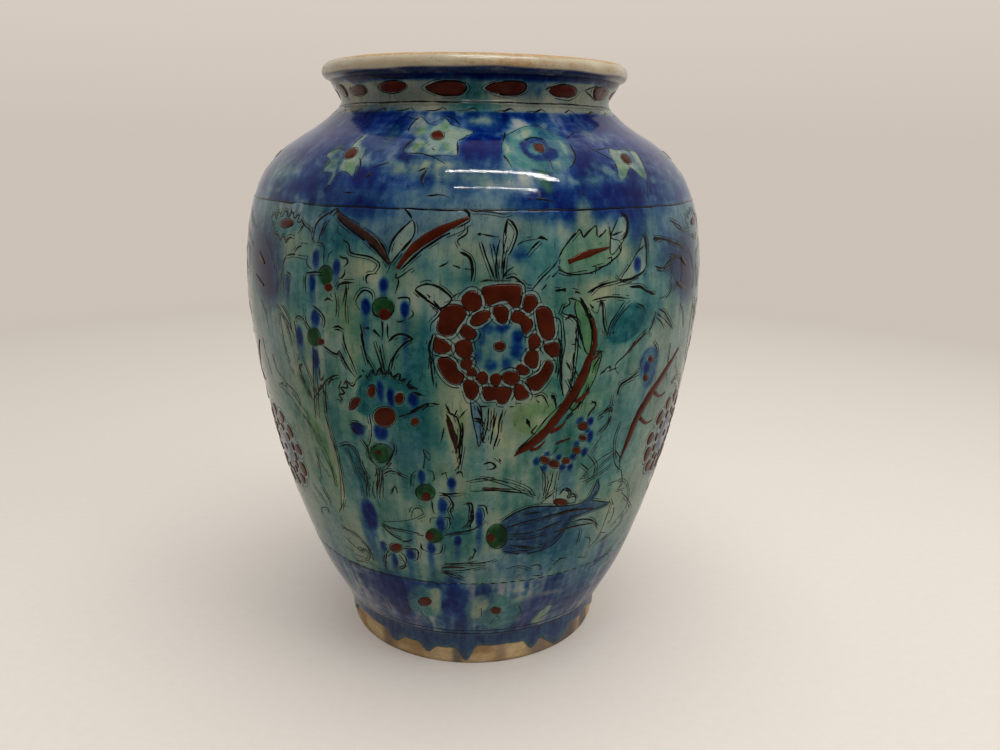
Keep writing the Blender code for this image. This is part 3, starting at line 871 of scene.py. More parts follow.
# Petals of the rosette and dashes of the neck, drawn one by one. They are grown a little, in pale grout.
PETAL_INK, HALO_INK = (0.5, 0.7), (0.45, 0.85)
PETAL_GROWTH = 0.25
GROUT_WIDTH = 1.7
HALO_GAP = 2.1
OUTLINE_GAP = 0.4
PETALS = (
    (NECK, (
        (430, 215, 480, 192, 550, 186, 600, 198, 608, 222, 580, 244, 520, 246, 470, 236),
        (700, 215, 750, 194, 820, 188, 870, 196, 876, 222, 840, 242, 780, 242, 730, 232),
        (985, 225, 1020, 206, 1070, 204, 1108, 222, 1100, 248, 1060, 258, 1010, 250),
        (1195, 215, 1228, 222, 1200, 268, 1185, 245),
    )),
    (UPPER_RIGHT, (
        (75, 530, 130, 515, 200, 510, 290, 510, 306, 545, 296, 632, 250, 642, 225, 606, 190, 600, 140, 622,
         108, 632, 84, 590), (335, 580, 380, 574, 400, 620, 352, 672, 320, 636),
        (400, 662, 450, 645, 490, 680, 506, 780, 490, 830, 450, 836, 420, 780),
        (450, 870, 522, 860, 530, 926, 490, 936, 456, 906),
        (460, 966, 492, 986, 490, 1032, 440, 1110, 386, 1146, 340, 1082, 420, 1040),
        (266, 1126, 310, 1110, 350, 1166, 330, 1192, 280, 1192),
        (80, 1130, 150, 1126, 240, 1130, 246, 1152, 215, 1216, 170, 1216, 160, 1192, 100, 1200),
        (-38, 1098, 18, 1088, 48, 1130, 30, 1182, -12, 1190),
        (145, 650, 180, 634, 222, 660, 216, 730, 186, 735, 150, 700),
        (6, 720, 50, 676, 108, 668, 120, 700, 70, 742, 20, 752),
        (250, 690, 290, 668, 350, 706, 372, 750, 340, 800, 316, 784, 306, 742, 258, 728),
        (356, 830, 390, 804, 418, 846, 400, 886, 358, 892),
        (334, 940, 366, 905, 404, 920, 400, 994, 372, 1006, 332, 972),
        (280, 1000, 310, 986, 352, 1022, 330, 1046, 296, 1036),
        (196, 1050, 240, 1030, 290, 1046, 284, 1096, 248, 1108, 206, 1086),
        (126, 1068, 155, 1044, 184, 1066, 170, 1110, 136, 1106),
        (40, 1056, 70, 1030, 102, 1056, 94, 1094, 58, 1096),
        (-16, 1016, 12, 1008, 36, 1036, 16, 1060, -12, 1046),
    )),
    (UPPER_LEFT, (
        (1186, 966, 1240, 948, 1290, 982, 1300, 1022, 1338, 1052, 1320, 1100, 1262, 1096, 1214, 1042),
        (1172, 828, 1222, 846, 1268, 880, 1240, 916, 1170, 906),
        (1214, 660, 1270, 630, 1330, 640, 1352, 690, 1312, 750, 1272, 806, 1200, 802, 1188, 750),
        (1328, 600, 1380, 548, 1432, 570, 1442, 640, 1386, 668, 1346, 640),
        (1296, 860, 1340, 838, 1378, 850, 1392, 920, 1360, 952, 1306, 920),
        (1326, 980, 1356, 950, 1390, 974, 1372, 1012, 1338, 1006),
        (1324, 780, 1350, 750, 1410, 790, 1404, 826, 1366, 832, 1330, 806),
    )),
)

# Soft rounds under the front's rosette: wash, centre, half width, half height, strength and softness
ROSETTE_ROUNDS = (
    ("pale", 178, 870, 370, 350, 0.75, 0.15), ("sky", 178, 870, 190, 185, 0.8, 0.4),
    ("grey", 180, 860, 80, 110, 0.5, 0.5),
)

# Blue dabs in the rosette's middle, on the same sheet: centre, half width and half height
ROSETTE_DABS = (
    (100, 775, 42, 36), (195, 768, 42, 26), (286, 820, 36, 46), (288, 905, 46, 50), (220, 985, 30, 36),
    (124, 992, 38, 36), (44, 935, 26, 46), (48, 838, 42, 50),
)

# Brushed strokes of slip: kind, path and widths in millimetres along it
SLIP_STROKES = (
    (PHOTO, (
        ("red", (592, 318, 595, 333, 594, 347, 588, 361, 583, 376, 575, 391, 565, 406, 555, 420, 540, 437,
         514, 456), (1.0, 2.6, 2.8, 5.4, 5.2, 5.8, 5.0, 5.6, 5.0, 0.8)),
        ("red", (575, 402, 583, 397, 590, 390), (3.0, 2.2, 0.5)),
        ("red", (550, 432, 559, 428, 566, 421), (3.0, 2.2, 0.5)),
        ("red", (588, 362, 594, 358, 601, 353), (3.0, 2.0, 0.5)),
        ("red", (530, 450, 538, 448, 545, 441), (2.6, 1.8, 0.5)),
        ("red", (678, 348, 666, 370, 652, 392, 638, 416, 628, 440, 619, 462),
         (1.6, 5.6, 7.0, 6.6, 5.0, 0.8)), ("red", (654, 392, 660, 396, 665, 392), (3.0, 2.2, 0.5)),
        ("red", (640, 418, 646, 423, 652, 420), (3.0, 2.2, 0.5)),
    )),
    (UPPER_LEFT, (
        ("red", (940, 412, 1040, 290, 1180, 195, 1372, 105), (1.6, 5.0, 4.8, 1.6)),
        ("umber", (588, 84, 660, 145, 740, 200, 820, 265, 898, 385), (2.2, 3.4, 3.8, 3.4, 1.0)),
    )),
    (CLOSE_LEFT, (
        ("umber", (92, 238, 100, 262, 112, 286), (1.5, 3.4, 1.0)),
        ("umber", (80, 330, 92, 352, 108, 372), (1.5, 3.4, 1.0)),
    )),
    (UPPER_RIGHT, (
        ("red", (588, 372, 690, 328, 836, 284), (2.4, 3.8, 0.9)),
        ("umber", (1052, 796, 985, 868, 922, 938), (1.6, 2.2, 0.6)),
    )),
    (LOWER_LEFT, (
        ("umber", (1154, 126, 1190, 230, 1216, 348), (2.2, 3.2, 0.8)),
        ("umber", (1116, 1090, 1190, 1084, 1270, 1088), (0.6, 1.8, 0.5)),
    )),
    (LOWER_RIGHT, (
        ("umber", (556, 286, 600, 266, 652, 250), (1.2, 2.0, 0.8)),
        ("umber", (76, 577, 150, 574, 226, 580), (0.6, 1.8, 0.5)),
        ("umber", (540, 756, 680, 716, 800, 704), (0.5, 1.5, 0.5)),
        ("umber", (540, 860, 680, 820, 800, 800), (0.5, 1.5, 0.5)),
    )),
)

# Brushed black lines: width in millimetres and path. A long line on the field has a thin companion.
LINE_WEIGHT = 1.1
LOW_LINE_WEIGHT = 0.85
LINE_DRY = 0.42
COMPANION_FROM = 9.0
COMPANION_GAP = 1.4
COMPANION_INK = (0.42, 0.95)
LINES = (
    (NECK, (
        (0.9, 428, 215, 480, 189, 550, 182, 604, 195, 612, 222, 585, 246, 525, 250, 470, 239, 430, 217),
        (0.9, 698, 215, 750, 191, 820, 184, 874, 193, 880, 222, 842, 246, 780, 246, 728, 235, 700, 217),
        (0.8, 960, 228, 1020, 203, 1070, 200, 1112, 222), (0.8, 216, 214, 250, 186, 310, 183, 350, 204),
        (0.8, 220, 226, 270, 240, 330, 232), (1.0, 1146, 225, 1195, 210, 1234, 221, 1198, 272, 1148, 227),
        (1.0, 66, 150, 90, 158), (0.7, 180, 166, 270, 169, 362, 172),
    )),
    (SHOULDER_LEFT, (
        (0.7, 370, 332, 400, 320), (0.7, 680, 317, 722, 304), (0.9, 600, 345, 602, 400, 568, 465),
        (0.9, 400, 512, 424, 515), (0.7, 500, 556, 562, 550), (0.9, 1108, 95, 1160, 110, 1202, 152),
        (0.9, 1188, 242, 1222, 230, 1242, 210), (0.9, 860, 292, 900, 250, 922, 238),
        (0.9, 1028, 142, 1092, 110), (0.8, 900, 320, 960, 320, 1040, 342, 1112, 382),
        (1.0, 1030, 290, 1050, 300), (2.0, 638, 466, 668, 432), (0.9, 690, 402, 760, 377, 832, 365),
        (1.3, 950, 427, 1002, 410, 970, 470, 986, 517), (0.7, 745, 230, 768, 240), (0.8, 770, 160, 792, 182),
        (0.8, 1000, 575, 1080, 568, 1140, 585), (0.7, 880, 100, 950, 120), (0.7, 360, 380, 390, 375),
        (0.8, 1185, 250, 1186, 330), (0.7, 890, 190, 906, 150, 950, 110), (0.7, 590, 240, 640, 195),
    )),
    (SHOULDER_RIGHT, (
        (1.1, 298, 275, 330, 242, 380, 225, 432, 236, 452, 252), (0.9, 330, 320, 362, 352),
        (0.9, 478, 288, 512, 302), (1.0, 200, 330, 230, 372, 252, 402), (0.9, 578, 232, 620, 200, 662, 190),
        (0.9, 210, 190, 198, 252), (0.8, 690, 262, 720, 290, 820, 342, 872, 372), (0.7, 750, 302, 832, 290),
        (0.8, 918, 300, 982, 310), (0.7, 1060, 482, 1064, 582), (1.6, 660, 538, 682, 572),
        (0.9, 340, 602, 400, 590, 502, 612), (0.9, 462, 345, 500, 420), (0.8, 380, 160, 404, 152, 430, 165),
        (0.9, 600, 270, 634, 340, 612, 402), (0.8, 505, 330, 530, 342), (0.8, 870, 380, 885, 440, 892, 472),
        (0.8, 1000, 320, 1036, 380, 1068, 480),
    )),
    (BAND, (
        (0.8, 350, 170, 352, 225, 380, 275), (0.9, 420, 262, 450, 300, 490, 300), (0.7, 733, 250, 736, 292),
        (0.8, 762, 268, 800, 285, 832, 300), (0.8, 780, 332, 800, 300),
        (0.9, 1028, 272, 1080, 236, 1107, 230), (0.9, 1040, 302, 1092, 262), (0.7, 930, 235, 948, 290),
        (0.7, 240, 200, 270, 260), (0.8, 410, 200, 420, 235, 470, 238), (0.8, 990, 330, 1030, 325),
    )),
    (UPPER_LEFT, (
        (0.7, 225, 95, 232, 55), (0.7, 245, 85, 255, 58), (0.7, 262, 78, 270, 45), (0.7, 285, 75, 290, 48),
        (0.7, 305, 80, 312, 50), (0.7, 322, 88, 335, 62), (0.7, 190, 120, 205, 145),
        (0.7, 195, 162, 207, 130), (0.9, 370, 110, 378, 150, 363, 190), (0.7, 345, 205, 362, 172, 382, 150),
        (0.7, 215, 205, 222, 242), (0.7, 240, 225, 256, 262), (0.7, 262, 235, 282, 252),
        (0.7, 288, 246, 299, 222), (0.9, 365, 112, 388, 150, 415, 175, 432, 212),
        (0.8, 470, 252, 490, 180, 520, 120, 560, 66, 602, 46), (0.7, 440, 232, 450, 160, 480, 110, 522, 80),
        (0.8, 430, 210, 442, 262), (1.0, 330, 312, 346, 285, 375, 275, 406, 280),
        (0.8, 406, 330, 398, 370, 410, 400, 432, 412),
        (0.9, 465, 255, 492, 260, 506, 292, 500, 340, 506, 402), (0.8, 280, 332, 320, 325, 392, 337),
        (0.8, 280, 327, 262, 370, 250, 440, 245, 502),
        (0.8, 275, 430, 300, 445, 305, 475, 290, 520, 285, 585), (0.7, 270, 442, 262, 500, 265, 592),
        (1.0, 393, 440, 440, 432, 492, 436), (0.8, 395, 440, 390, 500, 396, 562),
        (0.9, 590, 320, 606, 345, 640, 350, 645, 375, 620, 402),
        (0.9, 628, 412, 626, 442, 605, 468, 584, 470), (0.8, 524, 372, 535, 322, 562, 300),
        (1.1, 580, 542, 592, 510, 630, 495, 684, 495), (0.8, 636, 510, 640, 560, 632, 640, 636, 742),
        (1.1, 503, 606, 530, 590, 558, 610), (0.7, 540, 560, 556, 592), (0.8, 570, 552, 580, 640, 575, 702),
        (0.9, 430, 632, 460, 650, 496, 690, 510, 730, 495, 778),
        (0.8, 395, 652, 390, 682, 400, 740, 432, 782), (0.8, 328, 722, 345, 695, 370, 705, 412, 762),
        (0.7, 325, 722, 330, 760, 345, 822), (0.8, 245, 662, 280, 720, 310, 780, 332, 822),
        (1.3, 558, 766, 590, 758, 628, 782), (0.8, 566, 778, 600, 780, 622, 798),
        (0.8, 615, 792, 632, 870, 660, 940, 702, 1042), (0.8, 500, 872, 550, 912, 592, 922, 602, 895),
        (0.8, 590, 926, 620, 960, 652, 1010, 692, 1062),
        (0.8, 356, 1000, 376, 980, 364, 1012, 380, 1080, 420, 1150, 442, 1202),
        (0.8, 440, 1202, 480, 1140, 530, 1072, 592, 1050), (1.0, 543, 1082, 560, 1055, 594, 1052),
        (0.8, 235, 1112, 260, 1095, 292, 1110, 340, 1160, 372, 1232), (0.8, 514, 1100, 514, 1200, 526, 1292),
        (1.2, 582, 74, 600, 100, 720, 168, 830, 248, 880, 328, 902, 388),
        (1.2, 580, 102, 640, 162, 760, 252, 850, 334, 892, 392), (1.5, 586, 92, 592, 64, 604, 50),
        (1.6, 1332, 70, 1366, 64, 1382, 112), (0.8, 1382, 112, 1370, 132, 1302, 172),
        (0.8, 1366, 152, 1360, 200, 1306, 242, 1322, 277), (1.5, 1320, 310, 1380, 350, 1394, 420, 1386, 492),
        (0.8, 890, 322, 910, 250, 960, 180, 1012, 140, 1034, 112), (1.8, 1034, 108, 1010, 76, 984, 48),
        (0.8, 1040, 132, 1050, 180, 1030, 230, 960, 310, 908, 378), (0.8, 900, 392, 880, 442),
        (0.9, 940, 422, 938, 472, 1000, 432, 1042, 405), (0.8, 590, 150, 585, 190, 612, 212),
        (0.8, 610, 236, 650, 262, 660, 310, 700, 325, 780, 340, 832, 375, 836, 402, 810, 442),
        (0.9, 1196, 402, 1240, 380, 1252, 366), (0.9, 1276, 390, 1330, 410, 1382, 416),
        (0.9, 820, 442, 765, 450, 755, 480, 776, 532), (0.8, 945, 462, 950, 500, 930, 562),
        (1.0, 690, 612, 720, 560, 750, 540, 790, 560, 796, 602), (0.8, 694, 606, 705, 640, 722, 662),
        (0.9, 920, 602, 970, 585, 1016, 590, 1020, 632), (0.8, 1030, 662, 1040, 690, 1008, 717),
        (0.9, 925, 722, 960, 730, 1002, 715), (0.9, 795, 622, 800, 680, 850, 712),
        (0.9, 888, 712, 922, 660, 906, 612), (1.2, 722, 742, 730, 780, 742, 870, 752, 932),
        (1.4, 748, 770, 790, 770, 842, 822), (0.8, 850, 722, 856, 780, 850, 842),
        (0.9, 880, 722, 886, 780, 890, 832),
        (1.2, 890, 852, 930, 815, 970, 805, 1004, 815, 1034, 836, 988, 856),
        (0.9, 800, 852, 830, 940, 862, 1042), (0.8, 950, 902, 900, 980, 890, 1062),
        (1.0, 1085, 512, 1130, 500, 1190, 520, 1242, 560, 1278, 604),
        (0.8, 1052, 540, 1120, 600, 1202, 652, 1196, 690, 1150, 740, 1144, 792),
        (0.9, 1270, 592, 1300, 565, 1334, 555), (0.7, 1140, 842, 1130, 900, 1150, 960, 1144, 1032),
        (1.1, 778, 998, 812, 1042), (1.3, 728, 1014, 748, 1034), (1.0, 828, 1052, 858, 1030, 882, 1062),
        (1.0, 908, 1048, 942, 1092), (1.2, 968, 1080, 1002, 1073), (0.9, 1000, 1112, 1064, 1104),
        (0.9, 1008, 1134, 1074, 1128), (1.0, 1048, 1150, 1112, 1177), (0.8, 590, 1108, 602, 1152),
        (0.8, 640, 1078, 664, 1112), (0.8, 618, 1150, 644, 1172), (0.8, 588, 1200, 612, 1222),
        (1.0, 968, 1297, 1040, 1260, 1132, 1218, 1100, 1262), (1.3, 1152, 1220, 1198, 1226),
    )),
    (CLOSE_LEFT, (
        (0.8, 135, 110, 150, 95, 158, 112, 170, 85, 178, 106, 195, 80, 205, 105, 222, 85, 228, 110, 248, 95,
         240, 125, 262, 120, 245, 146),
        (0.8, 138, 128, 150, 150, 144, 166, 165, 175, 170, 196, 186, 180, 195, 206, 206, 186, 228, 188),
        (1.0, 628, 300, 680, 235, 760, 180, 840, 140, 905, 114),
        (1.0, 640, 312, 720, 238, 800, 184, 870, 152, 912, 126),
        (0.9, 470, 740, 505, 715, 512, 735, 530, 700, 545, 725, 562, 692, 575, 722, 600, 700, 610, 728,
         640, 715, 640, 745, 680, 738, 668, 765, 705, 775, 690, 795, 722, 805),
        (0.9, 395, 830, 415, 815, 400, 800, 425, 790, 408, 770, 435, 770, 430, 745, 455, 765, 470, 740),
        (0.8, 158, 440, 185, 490, 210, 560, 222, 610), (0.7, 172, 440, 205, 500, 228, 590),
        (0.8, 300, 600, 302, 700, 306, 800, 312, 890), (0.7, 318, 620, 316, 700, 322, 780, 326, 890),
        (0.9, 245, 640, 250, 700, 275, 760, 300, 820), (0.7, 256, 650, 285, 720, 305, 790),
        (0.8, 165, 752, 200, 770, 250, 830, 290, 892), (0.8, 175, 762, 215, 805, 255, 870),
        (0.9, 340, 610, 390, 642, 402, 626, 425, 670, 446, 705), (0.8, 325, 690, 330, 742, 345, 720),
        (0.9, 360, 762, 370, 742, 396, 734), (0.9, 322, 782, 336, 762, 356, 832),
        (0.9, 485, 560, 500, 620, 516, 682), (0.9, 500, 640, 530, 690, 546, 716),
        (0.8, 560, 600, 570, 660, 580, 716), (0.9, 605, 700, 620, 642, 652, 602, 690, 580),
        (0.8, 590, 520, 592, 575), (0.8, 574, 512, 570, 548), (1.0, 526, 700, 540, 722),
        (1.0, 556, 690, 566, 716), (1.0, 592, 700, 602, 722), (1.0, 640, 736, 666, 746),
        (1.0, 690, 790, 720, 801), (0.9, 400, 772, 412, 745), (0.9, 420, 762, 432, 735),
        (0.9, 405, 790, 420, 800), (0.9, 400, 816, 416, 826), (0.8, 96, 420, 112, 470, 130, 540),
        (0.8, 100, 560, 118, 640, 140, 720), (0.9, 110, 180, 140, 262, 158, 350, 156, 405),
        (0.8, 170, 470, 182, 560, 200, 640, 232, 720), (0.8, 142, 640, 160, 700, 190, 745),
        (0.8, 430, 360, 425, 400, 415, 450), (0.8, 770, 560, 755, 620, 762, 700, 772, 770),
        (0.9, 745, 405, 790, 455, 800, 480), (0.8, 700, 388, 750, 430, 795, 470),
    )),
    (CLOSE_RIGHT, (
        (0.7, 150, 185, 170, 250, 200, 330), (0.7, 190, 190, 205, 260, 215, 330),
        (0.7, 240, 165, 225, 240, 222, 300), (0.8, 525, 375, 560, 352, 600, 338, 640, 325),
        (0.8, 640, 325, 690, 318, 740, 290), (0.8, 620, 386, 680, 390), (0.8, 448, 405, 470, 390, 502, 400),
        (0.8, 450, 410, 440, 440, 472, 455, 492, 470), (1.6, 505, 385, 528, 435, 546, 490, 550, 545),
        (1.0, 480, 460, 496, 480, 490, 520, 500, 560, 520, 588),
        (0.9, 576, 392, 586, 430, 590, 480, 602, 526), (0.7, 620, 500, 650, 450, 690, 405),
        (0.9, 776, 420, 770, 470, 745, 520), (0.8, 780, 440, 820, 480, 836, 502), (0.7, 600, 638, 578, 666),
        (0.8, 640, 640, 600, 652), (0.8, 635, 740, 650, 700, 680, 680, 720, 650),
        (1.0, 770, 186, 800, 175, 850, 195, 890, 216), (0.9, 780, 276, 812, 280, 840, 250, 862, 235),
        (0.9, 835, 110, 860, 140, 892, 150), (0.8, 826, 230, 858, 242, 872, 280, 868, 330),
        (0.8, 830, 236, 832, 290, 850, 332), (0.9, 20, 770, 40, 812), (0.9, 72, 770, 48, 822),
        (0.8, 340, 746, 370, 740, 392, 782), (1.0, 400, 738, 412, 772), (0.8, 540, 770, 562, 764, 550, 802),
        (0.8, 585, 802, 612, 770, 616, 740),
        (0.9, 548, 462, 560, 500, 562, 560, 548, 612, 534, 660, 510, 712, 476, 770, 420, 836),
        (0.9, 560, 590, 582, 586, 556, 632, 548, 660), (0.9, 540, 690, 536, 720, 512, 746, 498, 790),
        (0.9, 488, 790, 478, 806, 440, 836), (0.8, 428, 530, 440, 600, 432, 680, 446, 742),
        (1.1, 455, 620, 472, 652), (1.1, 460, 680, 476, 720, 460, 762), (0.8, 490, 560, 480, 620, 500, 680),
    )),
    (FOOT_LEFT, (
        (0.8, 500, 290, 505, 340, 500, 402), (0.8, 520, 290, 530, 340, 528, 422),
        (0.9, 350, 200, 380, 190, 420, 220, 440, 290, 470, 342),
        (0.8, 360, 210, 400, 260, 440, 330, 470, 372), (1.0, 530, 320, 560, 305, 600, 315, 630, 326),
        (1.0, 560, 392, 584, 370, 590, 402), (1.0, 780, 342, 798, 315, 806, 342),
        (1.0, 845, 312, 864, 308, 872, 332), (0.9, 815, 420, 832, 450, 818, 475, 830, 510, 815, 542),
        (0.9, 650, 502, 660, 470, 690, 465, 706, 492), (0.8, 520, 530, 560, 550, 620, 560, 702, 576),
        (0.9, 530, 545, 570, 580, 620, 605, 652, 600), (0.9, 880, 440, 910, 450, 915, 520, 880, 552),
        (0.9, 800, 580, 860, 570, 932, 550), (0.9, 540, 692, 550, 650, 580, 640),
        (0.9, 600, 722, 630, 700, 625, 670, 600, 650), (0.9, 640, 645, 675, 640, 680, 680, 660, 692),
        (0.9, 690, 610, 700, 640, 722, 652), (0.8, 350, 540, 420, 580, 470, 640, 492, 692),
        (0.8, 360, 580, 410, 630, 480, 690), (0.8, 430, 650, 460, 640, 486, 682),
        (0.7, 380, 690, 480, 730, 600, 760, 760, 782), (0.8, 790, 700, 840, 705, 942, 690),
        (0.8, 780, 740, 830, 760, 872, 772), (0.9, 700, 210, 710, 240, 732, 262),
        (0.8, 870, 200, 860, 260, 850, 312), (1.2, 800, 60, 830, 120, 845, 180, 840, 232),
        (0.9, 862, 60, 872, 140, 860, 212), (0.9, 800, 50, 828, 62, 850, 82), (0.9, 892, 40, 850, 82),
        (0.9, 590, 75, 650, 55, 710, 20, 742, 15), (0.7, 470, 60, 480, 120, 475, 182),
        (0.7, 240, 200, 260, 260, 300, 332), (0.7, 250, 330, 290, 400, 312, 442),
        (0.7, 215, 340, 260, 400, 292, 452), (0.7, 190, 60, 240, 160, 290, 260, 332, 352),
        (0.7, 275, 40, 318, 180, 345, 320, 352, 470),
        (0.7, 480, 130, 478, 172, 462, 200, 470, 240, 492, 270),
        (0.7, 560, 180, 578, 205, 565, 250, 540, 275),
    )),
    (FOOT_RIGHT, (
        (0.7, 100, 310, 160, 300, 240, 320, 300, 345, 356, 372), (0.7, 160, 340, 240, 345, 320, 352),
        (0.9, 165, 246, 195, 238, 216, 256), (0.8, 205, 220, 232, 242), (0.8, 140, 20, 160, 80, 165, 152),
        (0.8, 185, 30, 180, 100, 160, 162), (0.8, 215, 50, 200, 122), (0.9, 130, 80, 150, 84, 162, 102),
        (0.8, 380, 250, 400, 300, 390, 372), (0.8, 430, 270, 420, 320, 400, 376),
        (0.9, 385, 390, 430, 352, 460, 340), (0.7, 520, 205, 500, 232, 470, 262), (0.7, 450, 180, 420, 212),
        (0.8, 600, 62, 652, 28, 640, 80, 590, 132), (0.7, 570, 202, 612, 140),
        (0.7, 530, 302, 600, 230, 662, 190), (0.7, 540, 312, 600, 280, 652, 240),
        (0.9, 480, 470, 540, 455, 590, 465, 598, 492), (0.8, 300, 562, 400, 555, 460, 502),
        (0.8, 250, 642, 300, 630, 352, 642), (0.8, 380, 638, 386, 665, 350, 666), (0.8, 430, 602, 482, 600),
        (0.7, 560, 642, 620, 590, 682, 520), (0.8, 640, 320, 700, 300, 720, 350, 700, 420, 650, 482),
        (0.8, 690, 350, 722, 400, 690, 452), (0.8, 684, 80, 660, 160, 665, 240, 692, 272),
        (0.8, 650, 390, 630, 450, 600, 520, 560, 562),
        (0.9, 100, 400, 120, 390, 126, 430, 110, 480, 60, 502), (0.8, 170, 400, 180, 440, 160, 482),
        (1.0, 120, 560, 136, 575, 110, 602), (0.7, 10, 650, 60, 660, 102, 682),
        (1.0, 450, 365, 470, 342, 490, 352, 484, 372, 512, 366, 516, 388),
    )),
    (UPPER_RIGHT, (
        (0.9, 0, 65, 120, 70, 200, 85, 248, 75), (1.6, 44, 205, 76, 204), (0.9, 70, 202, 120, 214, 172, 222),
        (0.8, 230, 115, 260, 140, 281, 190, 270, 250, 240, 320, 213, 336),
        (1.0, 226, 114, 215, 170, 215, 232), (0.7, 180, 232, 165, 300, 155, 400, 170, 502),
        (0.7, 205, 342, 200, 420, 195, 502), (1.6, 400, 231, 430, 224, 467, 240),
        (0.9, 420, 242, 370, 290, 338, 332), (0.7, 280, 272, 330, 245, 402, 235),
        (0.9, 198, 472, 220, 430, 262, 400), (0.8, 58, 492, 110, 480, 152, 490),
        (1.1, 218, 472, 260, 460, 302, 490, 340, 525, 372, 530),
        (0.7, 370, 542, 430, 470, 500, 400, 532, 352), (0.9, 430, 540, 480, 480, 532, 420),
        (1.0, 530, 352, 560, 290, 600, 240, 656, 172), (1.2, 640, 187, 655, 168, 669, 207),
        (1.0, 680, 217, 752, 153, 756, 212), (1.0, 770, 222, 832, 158, 839, 217),
        (0.9, 838, 216, 880, 200, 912, 190), (1.6, 903, 80, 936, 95, 946, 150, 935, 212, 903, 242),
        (1.0, 890, 270, 902, 300, 894, 332), (1.1, 824, 351, 852, 345, 840, 387),
        (1.1, 734, 401, 757, 400, 750, 447), (0.7, 530, 440, 600, 455, 700, 440, 742, 440),
        (0.7, 750, 412, 842, 385), (1.1, 530, 350, 552, 370, 530, 402, 552, 432),
        (1.0, 488, 402, 522, 390, 525, 432), (1.4, 1034, 205, 1056, 250, 1056, 402),
        (0.8, 1045, 272, 1000, 320, 960, 390, 920, 450, 898, 482),
        (0.8, 720, 562, 780, 510, 860, 490, 892, 482, 870, 465),
        (0.8, 888, 497, 960, 480, 1020, 450, 1052, 420), (1.9, 508, 545, 560, 540, 620, 548, 667, 562),
        (1.0, 733, 602, 800, 585, 860, 580, 924, 586), (1.5, 958, 520, 1020, 520, 1060, 545, 1112, 567),
        (0.9, 1003, 620, 1040, 640, 1056, 682), (1.0, 715, 622, 760, 662, 790, 600, 800, 700, 810, 802),
        (0.8, 930, 602, 880, 680, 840, 750, 820, 832), (2.2, 856, 786, 864, 804),
        (0.7, 500, 702, 540, 720, 550, 800, 545, 900, 540, 1000, 520, 1082),
        (0.9, 590, 590, 602, 620, 560, 650, 545, 692), (0.9, 570, 722, 600, 700, 642, 710),
        (1.5, 640, 722, 660, 800, 692, 912), (1.0, 608, 870, 632, 864, 620, 892),
        (0.8, 610, 1102, 620, 1000, 632, 900, 636, 762), (1.5, 580, 1050, 606, 1060, 600, 1102),
        (1.4, 700, 672, 740, 720, 756, 800, 761, 862, 742, 920), (0.9, 778, 1047, 842, 990),
        (0.9, 788, 1042, 846, 998, 834, 1032),
        (0.8, 1060, 772, 1000, 830, 940, 920, 880, 980, 875, 1020, 892, 1042),
        (1.2, 1110, 690, 1090, 760, 1084, 822), (1.0, 1120, 702, 1150, 740, 1162, 772),
        (0.9, 1130, 652, 1170, 680, 1216, 772), (0.8, 1042, 942, 1020, 980, 1032, 1022),
        (0.8, 1100, 852, 1122, 900, 1110, 952), (0.8, 885, 1182, 900, 1120, 950, 1080, 1022, 1045),
        (1.5, 1098, 252, 1110, 230, 1180, 240, 1260, 270, 1292, 302), (1.0, 1198, 120, 1260, 160, 1282, 202),
        (1.0, 1108, 396, 1150, 410, 1200, 360, 1250, 330, 1282, 352),
        (0.9, 1205, 452, 1212, 500, 1200, 550, 1170, 590, 1138, 606), (0.8, 1215, 532, 1240, 500, 1277, 485),
        (1.0, 728, 1205, 757, 1226, 720, 1272), (0.9, 846, 1220, 830, 1292),
        (1.4, 478, 1170, 502, 1180, 516, 1230, 510, 1262), (0.8, 50, 1242, 122, 1236),
        (0.8, 238, 1240, 268, 1240), (1.2, 575, 1310, 640, 1240, 700, 1150, 716, 1100),
    )),
    (LOWER_LEFT, (
        (0.8, 210, 82, 270, 170, 340, 280, 392, 402, 432, 562),
        (0.8, 360, 102, 400, 250, 450, 400, 472, 520, 482, 640, 450, 732),
        (0.9, 300, 342, 316, 382, 330, 470, 342, 522), (0.8, 330, 562, 370, 620, 412, 702),
        (0.8, 280, 602, 310, 650, 332, 692), (0.9, 342, 742, 335, 702, 375, 700, 387, 742),
        (1.0, 458, 300, 500, 290, 550, 330, 592, 420, 622, 520, 632, 652),
        (0.8, 510, 322, 560, 450, 602, 560, 616, 652), (0.8, 655, 252, 640, 302),
        (1.0, 518, 162, 560, 150, 632, 190), (0.9, 523, 176, 560, 212, 622, 242),
        (1.0, 600, 252, 640, 320, 650, 380, 702, 432), (0.9, 640, 312, 692, 300),
        (0.9, 778, 300, 800, 330, 832, 325), (1.0, 800, 332, 780, 390, 740, 442),
        (0.8, 700, 442, 680, 520, 670, 600, 702, 662), (0.8, 735, 442, 720, 560, 710, 662),
        (1.2, 738, 482, 780, 460, 822, 470, 850, 490, 893, 512), (1.1, 788, 612, 812, 560, 832, 602),
        (0.9, 628, 490, 634, 540, 630, 602), (0.9, 730, 800, 800, 830, 900, 850, 1002, 882),
        (1.0, 735, 812, 790, 870, 852, 902), (0.9, 850, 916, 900, 920, 932, 900),
        (0.7, 735, 790, 900, 780, 1002, 740), (1.0, 915, 562, 920, 490, 952, 460),
        (1.0, 1028, 455, 1060, 470, 1066, 520, 1040, 532), (0.8, 1000, 322, 1042, 352),
        (0.8, 1010, 332, 1000, 420, 990, 482), (0.9, 1100, 532, 1120, 480, 1152, 470),
        (1.3, 1208, 482, 1240, 468, 1252, 492), (0.8, 1200, 462, 1230, 420, 1250, 320, 1240, 202),
        (1.2, 1098, 602, 1160, 611, 1242, 605), (1.0, 1100, 621, 1150, 620, 1182, 660, 1191, 720, 1160, 722),
